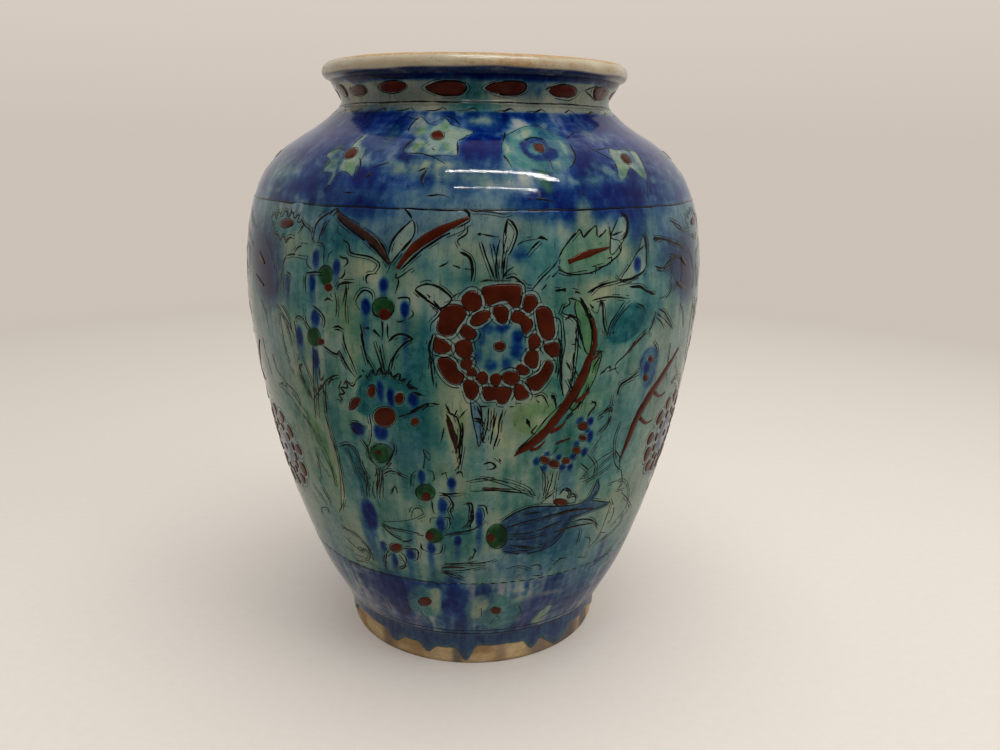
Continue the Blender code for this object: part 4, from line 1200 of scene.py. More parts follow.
        (0.9, 1050, 652, 1060, 720, 1082, 742), (0.9, 1040, 802, 1045, 770, 1082, 765),
        (0.9, 1130, 762, 1166, 770, 1166, 830, 1140, 852), (0.9, 1130, 882, 1200, 860, 1300, 850, 1382, 800),
        (0.9, 990, 922, 980, 960, 1002, 976), (0.9, 1060, 1002, 1110, 990, 1126, 930),
        (0.9, 770, 942, 700, 920), (1.0, 860, 966, 920, 965, 966, 980, 960, 1022),
        (1.0, 840, 1002, 880, 1060, 870, 1090, 818, 1102), (0.9, 790, 992, 760, 1030, 750, 1112),
        (0.8, 480, 832, 560, 880, 620, 940, 660, 1000, 682, 1042),
        (0.9, 570, 952, 620, 970, 652, 1010, 640, 1042), (0.8, 490, 952, 560, 1000, 642, 1042),
        (0.8, 560, 1042, 650, 1060, 722, 1102), (0.8, 1108, 1076, 1200, 1060, 1402, 1060),
        (0.8, 1108, 1101, 1200, 1110, 1402, 1080), (0.9, 1108, 1121, 1180, 1130, 1232, 1152),
        (1.4, 1146, 118, 1184, 228, 1212, 342), (0.8, 1210, 102, 1240, 200, 1230, 330, 1242, 422),
        (0.8, 1130, 182, 1110, 282), (1.0, 1268, 671, 1310, 680, 1310, 740, 1300, 852),
        (1.0, 1348, 682, 1400, 690, 1416, 742), (1.0, 1332, 980, 1320, 1020, 1288, 1042),
        (2.2, 1392, 236, 1382, 270, 1402, 278),
    )),
    (LOWER_RIGHT, (
        (0.8, 68, 41, 122, 40), (1.2, 18, 121, 60, 125, 100, 170, 122, 202),
        (0.8, 160, 52, 150, 180, 130, 302), (0.9, 215, 62, 190, 150, 180, 230, 150, 322),
        (0.9, 430, 0, 492, 52), (1.6, 368, 120, 392, 182), (0.9, 440, 162, 400, 210, 432, 226),
        (1.3, 572, 62, 540, 130, 440, 230, 350, 300, 288, 352), (0.9, 820, 32, 780, 80, 760, 132),
        (0.9, 916, 50, 910, 130, 870, 202), (0.8, 828, 132, 880, 90, 917, 53),
        (0.8, 485, 462, 490, 540, 480, 622), (0.8, 570, 462, 550, 560, 540, 642),
        (0.7, 0, 537, 150, 520, 270, 540, 370, 580, 412, 632), (0.7, 0, 592, 150, 590, 300, 600, 392, 611),
        (1.1, 88, 416, 130, 405, 166, 425, 150, 446, 108, 452), (1.4, 188, 380, 212, 422),
        (1.1, 584, 606, 620, 570, 658, 600, 640, 640), (1.1, 640, 632, 668, 606, 690, 640, 662, 672),
        (1.0, 460, 672, 510, 630, 542, 613),
        (1.2, 200, 792, 320, 720, 450, 690, 600, 690, 720, 670, 780, 620, 832, 510),
        (1.0, 832, 512, 838, 580, 790, 652), (1.1, 790, 652, 912, 668), (0.9, 907, 673, 780, 720, 640, 772),
        (1.1, 600, 830, 640, 800, 720, 775, 790, 780, 822, 828),
        (1.2, 210, 982, 330, 1000, 450, 980, 560, 920, 642, 800),
        (1.3, 250, 872, 400, 860, 560, 800, 692, 740), (1.0, 240, 902, 380, 900, 502, 870),
        (1.1, 240, 942, 380, 950, 522, 900), (1.1, 230, 832, 400, 780, 560, 740, 702, 700),
        (1.2, 330, 748, 400, 735, 475, 728), (1.2, 300, 975, 360, 978, 425, 966),
        (0.8, 690, 942, 711, 860, 705, 840), (0.8, 738, 891, 780, 900, 775, 947),
        (1.0, 0, 1066, 120, 1050, 172, 1030), (1.0, 14, 1032, 32, 990, 20, 978), (0.9, 290, 1162, 322, 1130),
        (1.0, 388, 1081, 440, 1070, 472, 1092), (0.8, 508, 1112, 560, 1050, 622, 1020),
        (0.8, 688, 1021, 742, 1020), (0.8, 718, 411, 770, 460, 770, 500, 713, 516),
        (0.8, 760, 352, 812, 420, 800, 492), (0.8, 950, 332, 850, 420, 788, 502),
        (0.9, 980, 432, 990, 540, 958, 581, 1002, 575), (0.8, 1028, 652, 1052, 692),
        (0.8, 990, 722, 970, 800, 900, 870, 818, 932), (0.8, 848, 861, 882, 860),
        (0.8, 940, 320, 975, 380, 965, 470), (0.8, 920, 640, 935, 720, 905, 800),
    )),
)

# Lines that run right round: height, path of one twelfth, width and dryness
ROUND_LINES = (
    (315.2, (-21, 0.1, -8, -0.2, 6, 0.1, 21, 0), 1.0, 0.15),
    (266.4, (-34, 0.4, -14, -0.2, 8, 0.2, 34, -0.2), 0.85, 0.4),
    (26.6, (-24, 0, -8, 0.1, 8, -0.1, 24, 0), 0.9, 0.25),
    (23.6, (-24, 0, -8, 0.1, 8, -0.1, 24, 0), 0.9, 0.35),
)
ROUND_STROKES = 12
RIM_BLUE = (326.2, 327.4)
SCALLOP = (-8.2, -0.9, -4.4, -0.9, -1.8, 0.0, 0.2, 1.3, 1.6, 0.2, 2.6, -0.9)
SCALLOPS, SCALLOP_HEIGHT, SCALLOP_INK = 30, 311.4, (1.1, 0.12)
DASHES, DASH_HEIGHT, DASH_INK = 120, 66.2, (1.1, 0.1)


def drawn(table):
    """Each entry of a table, with the sheet that it is drawn on."""
    for sheet, entries in table:
        for entry in entries:
            yield sheet, entry


def patch(sheet, wash, x, y, half_x, half_y, strength, soft=0.95):
    """A soft oval of wash."""
    for spot, points in sheet.routes(((x, y), (x + half_x * 0.5, y), (x, y - half_y * 0.5))):
        middle, side, top = points
        wide, tall = 2 * np.hypot(*(side - middle)), 2 * np.hypot(*(top - middle))
        reach = max(wide, tall) * (1 + soft) + np.abs(middle).max() + 4
        lay(spot, oval(middle[0], middle[1], wide, tall, soft), reach, WASHES[wash], strength)


def paint_shapes():
    for sheet, (wash, *points) in drawn(SHAPES):
        for spot, path in sheet.routes(curve(points, SHAPE_SPACING, True)):
            shape = area(path, 0.9 if BAND_LINE < spot.z < SHOULDER_LINE else 1.5)
            lay(spot, shape, reach_of(path), WASHES[wash], THIN_SHARE if wash in THIN else 1.0)
            if wash in OUTLINED and OUTLINED_ABOVE < spot.z < SHOULDER_LINE:
                ink(spot, path, *SHAPE_INK, closed=True)
            elif wash in STARS and len(points) > 2 * STAR_POINTS and spot.z > SHOULDER_LINE:
                ink(spot, path, *STAR_INK, closed=True)


def paint_drops():
    for sheet, (x, y, half_x, half_y, run) in drawn(DROPS):
        patch(sheet, "pale", x, y, half_x * 2.0, half_y * 1.4, 0.45, 0.6)
        patch(sheet, "soft", x, y + run * 0.5, half_x * 0.6, half_y * 0.5 + run * 0.6, 0.8, 0.6)
        patch(sheet, "blue", x, y, half_x * 0.72, half_y * 0.95, 1.0, 0.35)


def paint_bulbs():
    for sheet, (x, y, half_x, half_y, tip_x, tip_y, size) in drawn(BULBS):
        patch(sheet, "bulb", x, y, half_x * 0.9, half_y * 0.95, 0.95, 0.2)
        for spot, path in sheet.routes(ellipse(x, y, half_x * 0.95, half_y)):
            ink(spot, path, *BULB_INK, closed=True)
        for spot, path in sheet.routes(ellipse(tip_x, tip_y, size, size)):
            dome(spot, path, TIP_RISE)


def paint_petals():
    """Pale grout under all the petals, then each petal with a thin line at its edge and one outside."""
    for sheet, points in drawn(PETALS):
        for spot, path in sheet.routes(points):
            border(spot, path, GROUT_WIDTH, 0.5, "grout")
    for sheet, points in drawn(PETALS):
        for spot, path in sheet.routes(points):
            dome(spot, grown(path, PETAL_GROWTH), PETAL_RISE)
            ink(spot, grown(path, HALO_GAP), *HALO_INK, closed=True)
            ink(spot, grown(path, OUTLINE_GAP), *PETAL_INK, closed=True)


def paint_red_spots():
    for sheet, (x, y, half_x, half_y, tilt) in drawn(RED_SPOTS):
        for spot, path in sheet.routes(ellipse(x, y, half_x, half_y, tilt)):
            border(spot, path, SPOT_HALO, 0.5, "halo")
            dome(spot, path, SPOT_RISE)
            ink(spot, grown(path, OUTLINE_GAP), *SPOT_INK, closed=True)


def paint_lines():
    for sheet, (width, *points) in drawn(LINES):
        for spot, path in sheet.routes(points):
            weight = LINE_WEIGHT if spot.z > OUTLINED_ABOVE else LOW_LINE_WEIGHT
            ink(spot, path, width * weight, LINE_DRY)
            if BAND_LINE < spot.z < SHOULDER_LINE and np.hypot(*np.ptp(path, 0)) > COMPANION_FROM:
                ink(spot, beside(path, COMPANION_GAP * hand.choice((-1, 1))), *COMPANION_INK)


def paint_front():
    """The painting of the front and its repeats: washes, shapes, drops, slip, then lines."""
    for sheet, values in drawn(PATCHES):
        patch(sheet, *values)
    paint_shapes()
    for values in ROSETTE_ROUNDS:
        patch(UPPER_RIGHT, *values)
    for x, y, half_x, half_y in ROSETTE_DABS:
        patch(UPPER_RIGHT, "blue", x, y, half_x * 0.9, half_y * 0.9, 0.6, 0.5)
    paint_drops()
    paint_bulbs()
    paint_petals()
    paint_red_spots()
    for sheet, (kind, points, widths) in drawn(SLIP_STROKES):
        for spot, path in sheet.routes(points):
            bead(spot, path, widths, kind)
    paint_lines()


def ground():
    """Washes under the motifs, zone by zone."""
    z = paint_height[:, None]
    streaks, patches, broad = cloud(46, 3.2, 1), cloud(15, 11, 2), cloud(34, 30, 3)
    fine, brushed = cloud(3, 3, 4), cloud(5, 22, 5)
    neck = step(NECK_LINE - 4.0, NECK_LINE - 3.0, z)
    over_shoulder_line = step(SHOULDER_LINE - 1, SHOULDER_LINE + 1, z)
    over_band_line = step(BAND_LINE - 1.5, BAND_LINE + 1, z)
    shoulder = over_shoulder_line * (1 - neck)
    field = over_band_line * (1 - over_shoulder_line)
    band = 1 - over_band_line
    low = 1 - step(90, 190, z)
    high = step(205, 262, z)

    uneven = 0.17 * broad + 0.22 * patches + 0.12 * streaks + 0.06 * fine
    on_field = np.clip(0.58 - 0.27 * low - 0.16 * high + uneven, 0.10, 1.5)
    on_band = np.clip(0.30 + 0.16 * patches + 0.12 * streaks, 0, 1)
    paint["turquoise"] += field * on_field + shoulder * np.clip(0.18 + 0.12 * patches, 0, 1)
    paint["turquoise"] += band * on_band + neck * np.clip(0.01 + 0.05 * broad, 0, 1)

    on_field = 0.04 + 0.13 * high * (1 + 0.4 * streaks) + 0.03 * low * (1 + streaks) + 0.05 * streaks
    on_shoulder = np.clip(0.98 + 0.32 * patches + 0.26 * brushed + 0.12 * streaks + 0.12 * fine, 0.25, 2.2)
    on_band = np.clip(0.40 + 0.24 * patches + 0.22 * streaks + 0.12 * fine, 0.05, 2.0)
    paint["cobalt"] += field * np.clip(on_field, 0, 1.2) + shoulder * on_shoulder
    paint["cobalt"] += band * on_band + neck * np.clip(0.04 + 0.03 * brushed, 0, 1)

    paint["ochre"] += field * np.clip(0.22 - 0.14 * broad + 0.12 * patches, 0, 0.7) + neck * 0.36
    on_band = np.clip(0.15 + 0.15 * broad, 0, 1)
    paint["violet"] += shoulder * np.clip(0.10 * broad + 0.05, 0, 1) + band * on_band
    paint["green"] += field * np.clip(0.02 + 0.06 * broad, 0, 1)
    blotches = np.clip(cloud(4, 9, 6) - 0.9, 0, 1) * (shoulder + 0.8 * band)
    streaked = np.clip(cloud(40, 2.5, 7) - 1.0, 0, 1) * field * (1 - high)
    for name, share in (("cobalt", 0.85), ("turquoise", 0.3), ("violet", 0.8)):
        paint[name] *= 1 - share * blotches
    for name in ("turquoise", "cobalt"):
        paint[name] *= 1 - 0.5 * streaked
    paint["ink"] += np.clip(0.03 + 0.02 * patches, 0, 1)


def borders():
    """What runs right round: blue under the lip, lines, scallops under the neck and dashes over the band."""
    rim = step(*RIM_BLUE, paint_height[:, None] + 0.4 * cloud(1, 5, 22))
    paint["cobalt"] += (1.5 - paint["cobalt"]) * 0.7 * rim
    for k in range(ROUND_STROKES):
        for height, points, width, dry in ROUND_LINES:
            ink(Spot(-180 + 360 / ROUND_STROKES * k, height), points, width, dry)
    for k in range(SCALLOPS):
        ink(Spot(360 / SCALLOPS * k - 180 + hand.uniform(-1, 1), SCALLOP_HEIGHT), SCALLOP, *SCALLOP_INK)
    for k in range(DASHES):
        points = (-1.8, 0.1, 0, 0.1 * hand.uniform(-1, 1), 1.8, 0)
        ink(Spot(-180 + 360 / DASHES * k, DASH_HEIGHT), points, *DASH_INK)


# Colours that ran in the fire: colourant, share that ran and how far
RUNNING = (("cobalt", 0.22, 14.0), ("turquoise", 0.10, 8.0), ("green", 0.16, 7.0), ("ink", 0.10, 5.0))


def let_run():
    """Draw the colours down the wall, as they ran in the fire, more in some streaks than in others."""
    flow = 0.5 + 0.5 * np.tanh(1.4 * cloud(60, 2.6, 31))
    for name, share, reach in RUNNING:
        layer = paint[name]
        held = np.zeros(PAINT_COLUMNS)
        ran = np.zeros_like(layer)
        for row in range(PAINT_ROWS - 1, -1, -1):
            keep = np.exp(-PAINT_ROW / (reach * (0.3 + 1.4 * flow[row])))
            held = held * keep + layer[row] * (1 - keep)
            ran[row] = held
        paint[name] = layer * (1 - share * flow) + ran * share * flow
    for name, layer in paint.items():
        soft = 0.5 * layer + 0.125 * (np.roll(layer, 1, 1) + np.roll(layer, -1, 1))
        soft += 0.125 * (np.vstack([layer[:1], layer[:-1]]) + np.vstack([layer[1:], layer[-1:]]))
        paint[name] = soft


def sample(layer, azimuth, z):
    """Density of a paint layer at azimuths and heights."""
    column = (azimuth + 180) / 360 * PAINT_COLUMNS - 0.5
    row = np.clip((z - PAINT_LOW) / PAINT_ROW, 0, PAINT_ROWS - 1.001)
    j, i = np.floor(column).astype(int), np.floor(row).astype(int)
    x, y = column - j, row - i
    left, right = j % PAINT_COLUMNS, (j + 1) % PAINT_COLUMNS
    below = layer[i, left] * (1 - x) + layer[i, right] * x
    return below * (1 - y) + (layer[i + 1, left] * (1 - x) + layer[i + 1, right] * x) * y


# Materials

class Nodes:
    """A node tree, with short calls for its nodes."""

    def __init__(self, tree):
        self.tree = tree

    def node(self, kind, **values):
        made = self.tree.nodes.new(kind)
        for key, value in values.items():
            setattr(made, key, value)
        return made

    def put(self, socket, value):
        """Link a socket's value, or set it directly. A colour gets its alpha."""
        if isinstance(value, bpy.types.NodeSocket):
            self.tree.links.new(value, socket)
        else:
            socket.default_value = (*value, 1.0) if socket.type == "RGBA" else value

    def fed(self, made, values):
        """The node, with values put into its first sockets."""
        for socket, value in zip(made.inputs, values):
            self.put(socket, value)
        return made

    def math(self, operation, *values, clamp=False):
        return self.fed(self.node("ShaderNodeMath", operation=operation, use_clamp=clamp), values).outputs[0]

    def span(self, value, low, high, to_low, to_high):
        return self.fed(self.node("ShaderNodeMapRange"), (value, low, high, to_low, to_high)).outputs[0]

    def blend(self, share, first, second):
        made = self.node("ShaderNodeMix", data_type="RGBA")
        self.put(made.inputs["Factor"], share)
        self.put(made.inputs[6], first)
        self.put(made.inputs[7], second)
        return made.outputs[2]

    def tones(self, value, low, high, first, second, most=1.0):
        """The first tone up to low, then more of the second, up to the share most from high on."""
        return self.blend(self.span(value, low, high, 0.0, most), first, second)

    def light(self, kind, tone, strength=1.0):
        return self.fed(self.node(kind), (tone, strength)).outputs[0]

    def either(self, share, first, second):
        """The first shader, or the second by its share."""
        return self.fed(self.node("ShaderNodeMixShader"), (share, first, second)).outputs[0]

    def parts(self, vector):
        """The x, y and z of a vector."""
        return self.fed(self.node("ShaderNodeSeparateXYZ"), (vector,)).outputs

    def rays(self, kind):
        return self.node("ShaderNodeLightPath").outputs[kind]


class Finish(Nodes):
    """A procedural material."""

    def __init__(self, name):
        self.material = bpy.data.materials.new(name)
        self.material.use_nodes = True
        super().__init__(self.material.node_tree)
        self.shader = self.tree.nodes["Principled BSDF"]

    def where(self):
        return self.node("ShaderNodeTexCoord").outputs["Object"]

    def noise(self, scale, detail=3.0, roughness=0.5):
        """Noise with a scale per metre, the same all ways or one for each axis."""
        mapping = self.node("ShaderNodeMapping")
        self.put(mapping.inputs["Vector"], self.where())
        self.put(mapping.inputs["Scale"], scale if isinstance(scale, tuple) else (scale,) * 3)
        made = self.node("ShaderNodeTexNoise")
        self.put(made.inputs["Vector"], mapping.outputs["Vector"])
        for name, value in (("Scale", 1.0), ("Detail", detail), ("Roughness", roughness)):
            self.put(made.inputs[name], value)
        return made.outputs["Fac"]

    def cracks(self, scale):
        """Distance to the edges of cells."""
        made = self.node("ShaderNodeTexVoronoi", feature="DISTANCE_TO_EDGE")
        self.put(made.inputs["Vector"], self.where())
        self.put(made.inputs["Scale"], scale)
        return made.outputs["Distance"]

    def attribute(self, name):
        """The four channels of a colour attribute."""
        found = self.node("ShaderNodeAttribute", attribute_name=name)
        parts = self.fed(self.node("ShaderNodeSeparateColor"), (found.outputs["Color"],))
        return (*parts.outputs[:3], found.outputs["Alpha"])

    def done(self, tone, roughness, height, depth, strength, specular=None):
        """Set the shader, with a bump of the given height pattern, depth and strength."""
        self.put(self.shader.inputs["Base Color"], tone)
        self.put(self.shader.inputs["Roughness"], roughness)
        if specular is not None:
            self.put(self.shader.inputs["Specular IOR Level"], specular)
        bump = self.node("ShaderNodeBump")
        for name, value in (("Height", height), ("Distance", depth), ("Strength", strength)):
            self.put(bump.inputs[name], value)
        self.put(self.shader.inputs["Normal"], bump.outputs["Normal"])
        return self.material


# How strongly each colourant takes red, green and blue out of the light, per unit of density
ABSORB = {
    "turquoise": (2.10, 0.77, 0.70),
    "cobalt": (3.97, 2.35, 0.63),
    "green": (1.45, 0.60, 1.97),
    "ochre": (0.13, 0.18, 0.70),
    "ink": (3.4, 3.4, 3.2),
    "violet": (1.30, 2.10, 0.75),
}
WHITE_SLIP = (0.42, 0.40, 0.33)


def glaze_finish():
    """Coloured glaze over white slip: each colourant dims the light by its density."""
    f = Finish("painted_glaze")
    turquoise, cobalt, green, ochre = f.attribute("washes")
    black, purple, _, _ = f.attribute("marks")
    runs = f.noise((230, 230, 14), 4, 0.6)
    throws = f.noise((24, 24, 700), 3, 0.55)
    mottle = f.noise(210, 5, 0.62)
    uneven = f.math("MULTIPLY_ADD", runs, 0.8, f.math("MULTIPLY_ADD", mottle, 1.5, -0.30))
    uneven = f.math("MAXIMUM", f.math("MULTIPLY_ADD", throws, 0.30, uneven), 0.25)
    hairs = f.span(f.noise((640, 640, 36), 4, 0.65), 0.58, 0.76, 0.0, 0.26)
    specks = f.span(f.noise((520, 520, 900), 3, 0.6), 0.62, 0.80, 0.0, 0.35)
    density = {
        "turquoise": f.math("MULTIPLY", turquoise, uneven),
        "cobalt": f.math("MULTIPLY", cobalt, uneven),
        "green": f.math("MULTIPLY", green, uneven),
        "ochre": ochre,
        "violet": f.math("MULTIPLY", purple, uneven),
        "ink": f.math("ADD", f.math("ADD", black, specks), hairs),
    }
    channels = []
    for k in range(3):
        total = 0.0
        for name, strengths in ABSORB.items():
            total = f.math("MULTIPLY_ADD", density[name], strengths[k], total)
        left = f.math("POWER", math.e, f.math("MULTIPLY", total, -1.0))
        channels.append(f.math("MULTIPLY", left, WHITE_SLIP[k]))
    tone = f.fed(f.node("ShaderNodeCombineColor"), channels).outputs[0]
    height = f.math("MULTIPLY_ADD", throws, 0.5, mottle)
    return f.done(tone, f.span(mottle, 0.3, 0.7, 0.04, 0.10), height, 0.00006, 0.6, 0.24)


def ink_finish():
    f = Finish("black_line")
    roughness = f.span(f.noise(400), 0.3, 0.7, 0.10, 0.22)
    return f.done((0.0040, 0.0046, 0.0042), roughness, f.noise(900), 0.00004, 0.4, 0.2)


def red_finish():
    """Thick iron red under the glaze, darker in grainy patches."""
    f = Finish("red_slip")
    grain = f.noise(520, 4, 0.6)
    tone = f.tones(f.noise(120, 2), 0.35, 0.65, (0.046, 0.0060, 0.0012), (0.074, 0.0115, 0.0026))
    tone = f.tones(grain, 0.55, 0.75, tone, (0.026, 0.0042, 0.0022), 0.6)
    return f.done(tone, f.span(grain, 0.3, 0.7, 0.12, 0.26), grain, 0.00010, 0.6, 0.25)


def umber_finish():
    """Brown-black slip, thinner and browner in places."""
    f = Finish("umber_slip")
    grain = f.noise(420, 4, 0.6)
    tone = f.tones(grain, 0.35, 0.7, (0.010, 0.006, 0.005), (0.050, 0.018, 0.012))
    return f.done(tone, f.span(grain, 0.3, 0.7, 0.12, 0.26), grain, 0.00010, 0.6, 0.25)


def clay_finish():
    """Bare buff clay with turning lines and grit, darker along the foot's bottom edge and in a broken band
    above it, and films of blue glaze.
    """
    f = Finish("bare_clay")
    film, edge, _, _ = f.attribute("marks")
    grit = f.noise(900, 4, 0.65)
    broad = f.noise((60, 60, 90), 4, 0.6)
    lines = f.noise((12, 12, 1400))
    tone = f.tones(broad, 0.40, 0.60, (0.80, 0.60, 0.33), (0.52, 0.31, 0.125))
    tone = f.tones(lines, 0.45, 0.75, tone, (0.54, 0.41, 0.25), 0.45)
    tone = f.blend(f.math("MULTIPLY", film, f.span(broad, 0.3, 0.6, 1.0, 0.7)), tone, (0.014, 0.038, 0.100))
    # The second mark darkens the clay along the foot's bottom edge and in a broken band a little above it.
    tone = f.blend(f.math("MULTIPLY", edge, f.span(grit, 0.35, 0.6, 0.5, 1.0)), tone, (0.11, 0.065, 0.035))
    tone = f.tones(grit, 0.62, 0.76, tone, (0.22, 0.12, 0.06), 0.7)
    height = f.math("MULTIPLY_ADD", lines, 0.6, grit)
    return f.done(tone, f.span(grit, 0.3, 0.7, 0.7, 0.92), height, 0.00025, 0.7)


def slip_finish():
    f = Finish("luting_slip")
    grit = f.noise(700, 3, 0.6)
    tone = f.tones(grit, 0.35, 0.7, (0.62, 0.52, 0.40), (0.48, 0.37, 0.26))
    return f.done(tone, f.span(grit, 0.3, 0.7, 0.75, 0.95), grit, 0.0002, 0.6)


def lip_finish():
    """Cream glaze worn through to orange clay along the top and the outer edge, brushed blue underneath."""
    f = Finish("worn_lip")
    blue, wear, _, _ = f.attribute("marks")
    broad = f.noise((70, 70, 160), 4, 0.65)
    grain = f.noise(480, 4, 0.6)
    cream = f.tones(broad, 0.35, 0.65, (0.56, 0.495, 0.35), (0.47, 0.42, 0.31))
    bare = f.tones(grain, 0.35, 0.65, (0.50, 0.33, 0.155), (0.40, 0.25, 0.115))
    worn = f.math("MULTIPLY_ADD", broad, 0.9, f.math("MULTIPLY_ADD", grain, 0.5, wear))
    share = f.span(worn, 1.05, 1.35, 0.0, 1.0)
    tone = f.tones(f.noise(760, 2), 0.68, 0.76, f.blend(share, cream, bare), (0.10, 0.07, 0.05), 0.8)
    brushed = f.math("MULTIPLY", blue, f.span(broad, 0.25, 0.5, 0.75, 1.0))
    tone = f.blend(brushed, tone, f.tones(grain, 0.35, 0.65, (0.006, 0.012, 0.050), (0.016, 0.030, 0.085)))
    height = f.math("MULTIPLY_ADD", share, -0.6, grain)
    return f.done(tone, f.span(share, 0.0, 1.0, 0.16, 0.7), height, 0.00015, 0.6)


def lining_finish():
    """Pale glaze with thin runs and fine crazing."""
    f = Finish("pale_lining")
    broad = f.noise((26, 26, 40), 4, 0.6)
    tone = f.tones(broad, 0.35, 0.65, (0.58, 0.55, 0.45), (0.47, 0.48, 0.40))
    tone = f.tones(f.noise((160, 160, 8), 4, 0.6), 0.55, 0.72, tone, (0.34, 0.42, 0.40), 0.5)
    tone = f.blend(f.span(f.cracks(150.0), 0.0, 0.02, 0.35, 0.0), tone, (0.20, 0.15, 0.09))
    return f.done(tone, f.span(broad, 0.3, 0.7, 0.16, 0.3), f.noise((10, 10, 500)), 0.0003, 0.6)


def hem_finish():
    """Dark blue glaze, thinning to a brown-edged film at its hem."""
    f = Finish("hem_glaze")
    thin = f.attribute("marks")[1]
    mottle = f.noise(260, 4, 0.6)
    runs = f.noise((300, 300, 40), 3, 0.55)
    deep = f.tones(runs, 0.35, 0.65, (0.010, 0.020, 0.115), (0.022, 0.075, 0.190))
    edge = f.tones(mottle, 0.35, 0.65, (0.030, 0.055, 0.085), (0.080, 0.170, 0.190))
    share = f.math("MULTIPLY_ADD", mottle, 0.4, f.math("MULTIPLY", thin, 0.7), clamp=True)
    return f.done(f.blend(share, deep, edge), f.span(mottle, 0.3, 0.7, 0.08, 0.2), mottle, 0.00012, 0.6)


# Pieces

def piece_from(name, points, faces, finish, slot):
    mesh = bpy.data.meshes.new(name)
    mesh.from_pydata([tuple(p) for p in points], [], faces)
    made = bpy.data.objects.new(name, mesh)
    bpy.context.scene.collection.objects.link(made)
    mesh.materials.append(finish)
    mesh.polygons.foreach_set("use_smooth", np.ones(len(mesh.polygons), bool))
    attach(made, "root")
    return made


def keep_uv(piece, count, wide):
    """Even unwrapping round the axis: one strip for each pair of rings, as tall as the pair is apart."""
    mesh = piece.data
    points = np.array([v.co[:] for v in mesh.vertices]).reshape(count, wide, 3)
    lengths = np.linalg.norm(points[:, 0] - np.roll(points[:, 0], -1, 0), axis=1)
    ends = np.concatenate([[0], np.cumsum(lengths)])
    ends = UV_MARGIN + (1 - 2 * UV_MARGIN) * ends / ends[-1]
    column = np.arange(wide) / wide
    uv = np.zeros((count, wide, 4, 2))
    for corner, (right, up) in enumerate(((0, 0), (1, 0), (1, 1), (0, 1))):
        uv[:, :, corner, 0] = UV_MARGIN + (1 - 2 * UV_MARGIN) * (column[None, :] + right / wide)
        uv[:, :, corner, 1] = np.where(up, ends[1:], ends[:-1])[:, None]
    mesh.uv_layers.new(name="OFBake").data.foreach_set("uv", uv.ravel())


def ring_piece(name, node, rings, finish, slot):
    """Piece from rings of points, closed round the axis and from the last ring to the first."""
    count, wide = len(rings), len(rings[0])
    faces = []
    for i in range(count):
        a, b = i * wide, ((i + 1) % count) * wide
        faces += [(a + j, a + (j + 1) % wide, b + (j + 1) % wide, b + j) for j in range(wide)]
    made = piece_from(name, np.concatenate(rings), faces, finish, slot)
    keep_uv(made, count, wide)
    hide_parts(node)
    return made


def colour(piece, name, channels):
    """Store up to four channels as a colour attribute. A missing blue is 0 and a missing alpha is 1."""
    empty = np.zeros_like(channels[0])
    data = np.stack([*channels, empty, empty + 1][:4] if len(channels) < 4 else channels, -1)
    attribute = piece.data.attributes.new(name, "FLOAT_COLOR", "POINT")
    attribute.data.foreach_set("color", data.astype(np.float32).ravel())


def shell(name, node, low, high, finish, slot, soft_low):
    """Fine closed coat of glaze between two heights, painted from the paint layers."""
    heights = np.linspace(low, high, max(int((high - low) / ROW), 6) + 1)
    azimuth = azimuths(COLUMNS)
    inset = np.zeros_like(heights)
    if soft_low:
        near = np.clip((low + soft_low - heights) / soft_low, 0, 1)
        inset = -soft_low * (1 - np.sqrt(np.maximum(1 - near ** 2, 0)))
    inner = heights[:: INNER_EVERY if high <= SHOULDER_LINE else 1]
    if inner[-1] != heights[-1]:
        inner = np.append(inner, heights[-1])
    rings = [place(azimuth, np.full(COLUMNS, z), lift) for z, lift in zip(heights, inset)]
    rings += [place(azimuth, np.full(COLUMNS, z), -GLAZE) for z in inner[::-1]]
    count = len(rings)
    made = ring_piece(name, node, rings, finish, slot)
    smooth = np.ones(count, bool)
    smooth[[len(heights) - 1, count - 1]] = False
    made.data.polygons.foreach_set("use_smooth", np.repeat(smooth, COLUMNS))
    z, turns = np.repeat(np.concatenate([heights, inner[::-1]]), COLUMNS), np.tile(azimuth, count)
    found = {key: sample(layer, turns, z) for key, layer in paint.items()}
    colour(made, "washes", [found[key] for key in ("turquoise", "cobalt", "green", "ochre")])
    colour(made, "marks", [found["ink"], found["violet"]])


def turned_ring(name, node, profile, finish, slot, wide, uneven, blue=None, wear=None):
    """Closed ring turned from (radius, height) points. Its unevenness and its two marks are functions."""
    turn = np.radians(azimuths(wide))
    rings = []
    for radius, z in profile:
        r, h = uneven(turn, radius, z)
        rings.append(around(r, turn, h))
    made = ring_piece(name, node, rings, finish, slot)
    if blue is not None:
        shares = [[share(turn, *point) + 0 * turn for point in profile] for share in (blue, wear)]
        colour(made, "marks", [np.ravel(share) for share in shares])


def along_profile(points, spacing):
    """Points spread evenly along a profile's straight runs."""
    out = []
    for (r1, z1), (r2, z2) in zip(points, points[1:]):
        count = max(int(math.hypot(r2 - r1, z2 - z1) / spacing), 1)
        out += [(r1 + (r2 - r1) * k / count, z1 + (z2 - z1) * k / count) for k in range(count)]
    return out + [points[-1]]


# Lip: its first point, heights and radii between which it wears, where chips begin, and the blue under it
LIP_START = (82.7, LIP_SEAT - 0.1)
LIP_POINTS = 30
LIP_TOP = (335.4, 337.4)
LIP_OUTER = (85.9, 86.7)
LIP_CHIPPED = 334.0
LIP_BLUE = 331.3
LIP_UNDER = (81.0, 82.0)


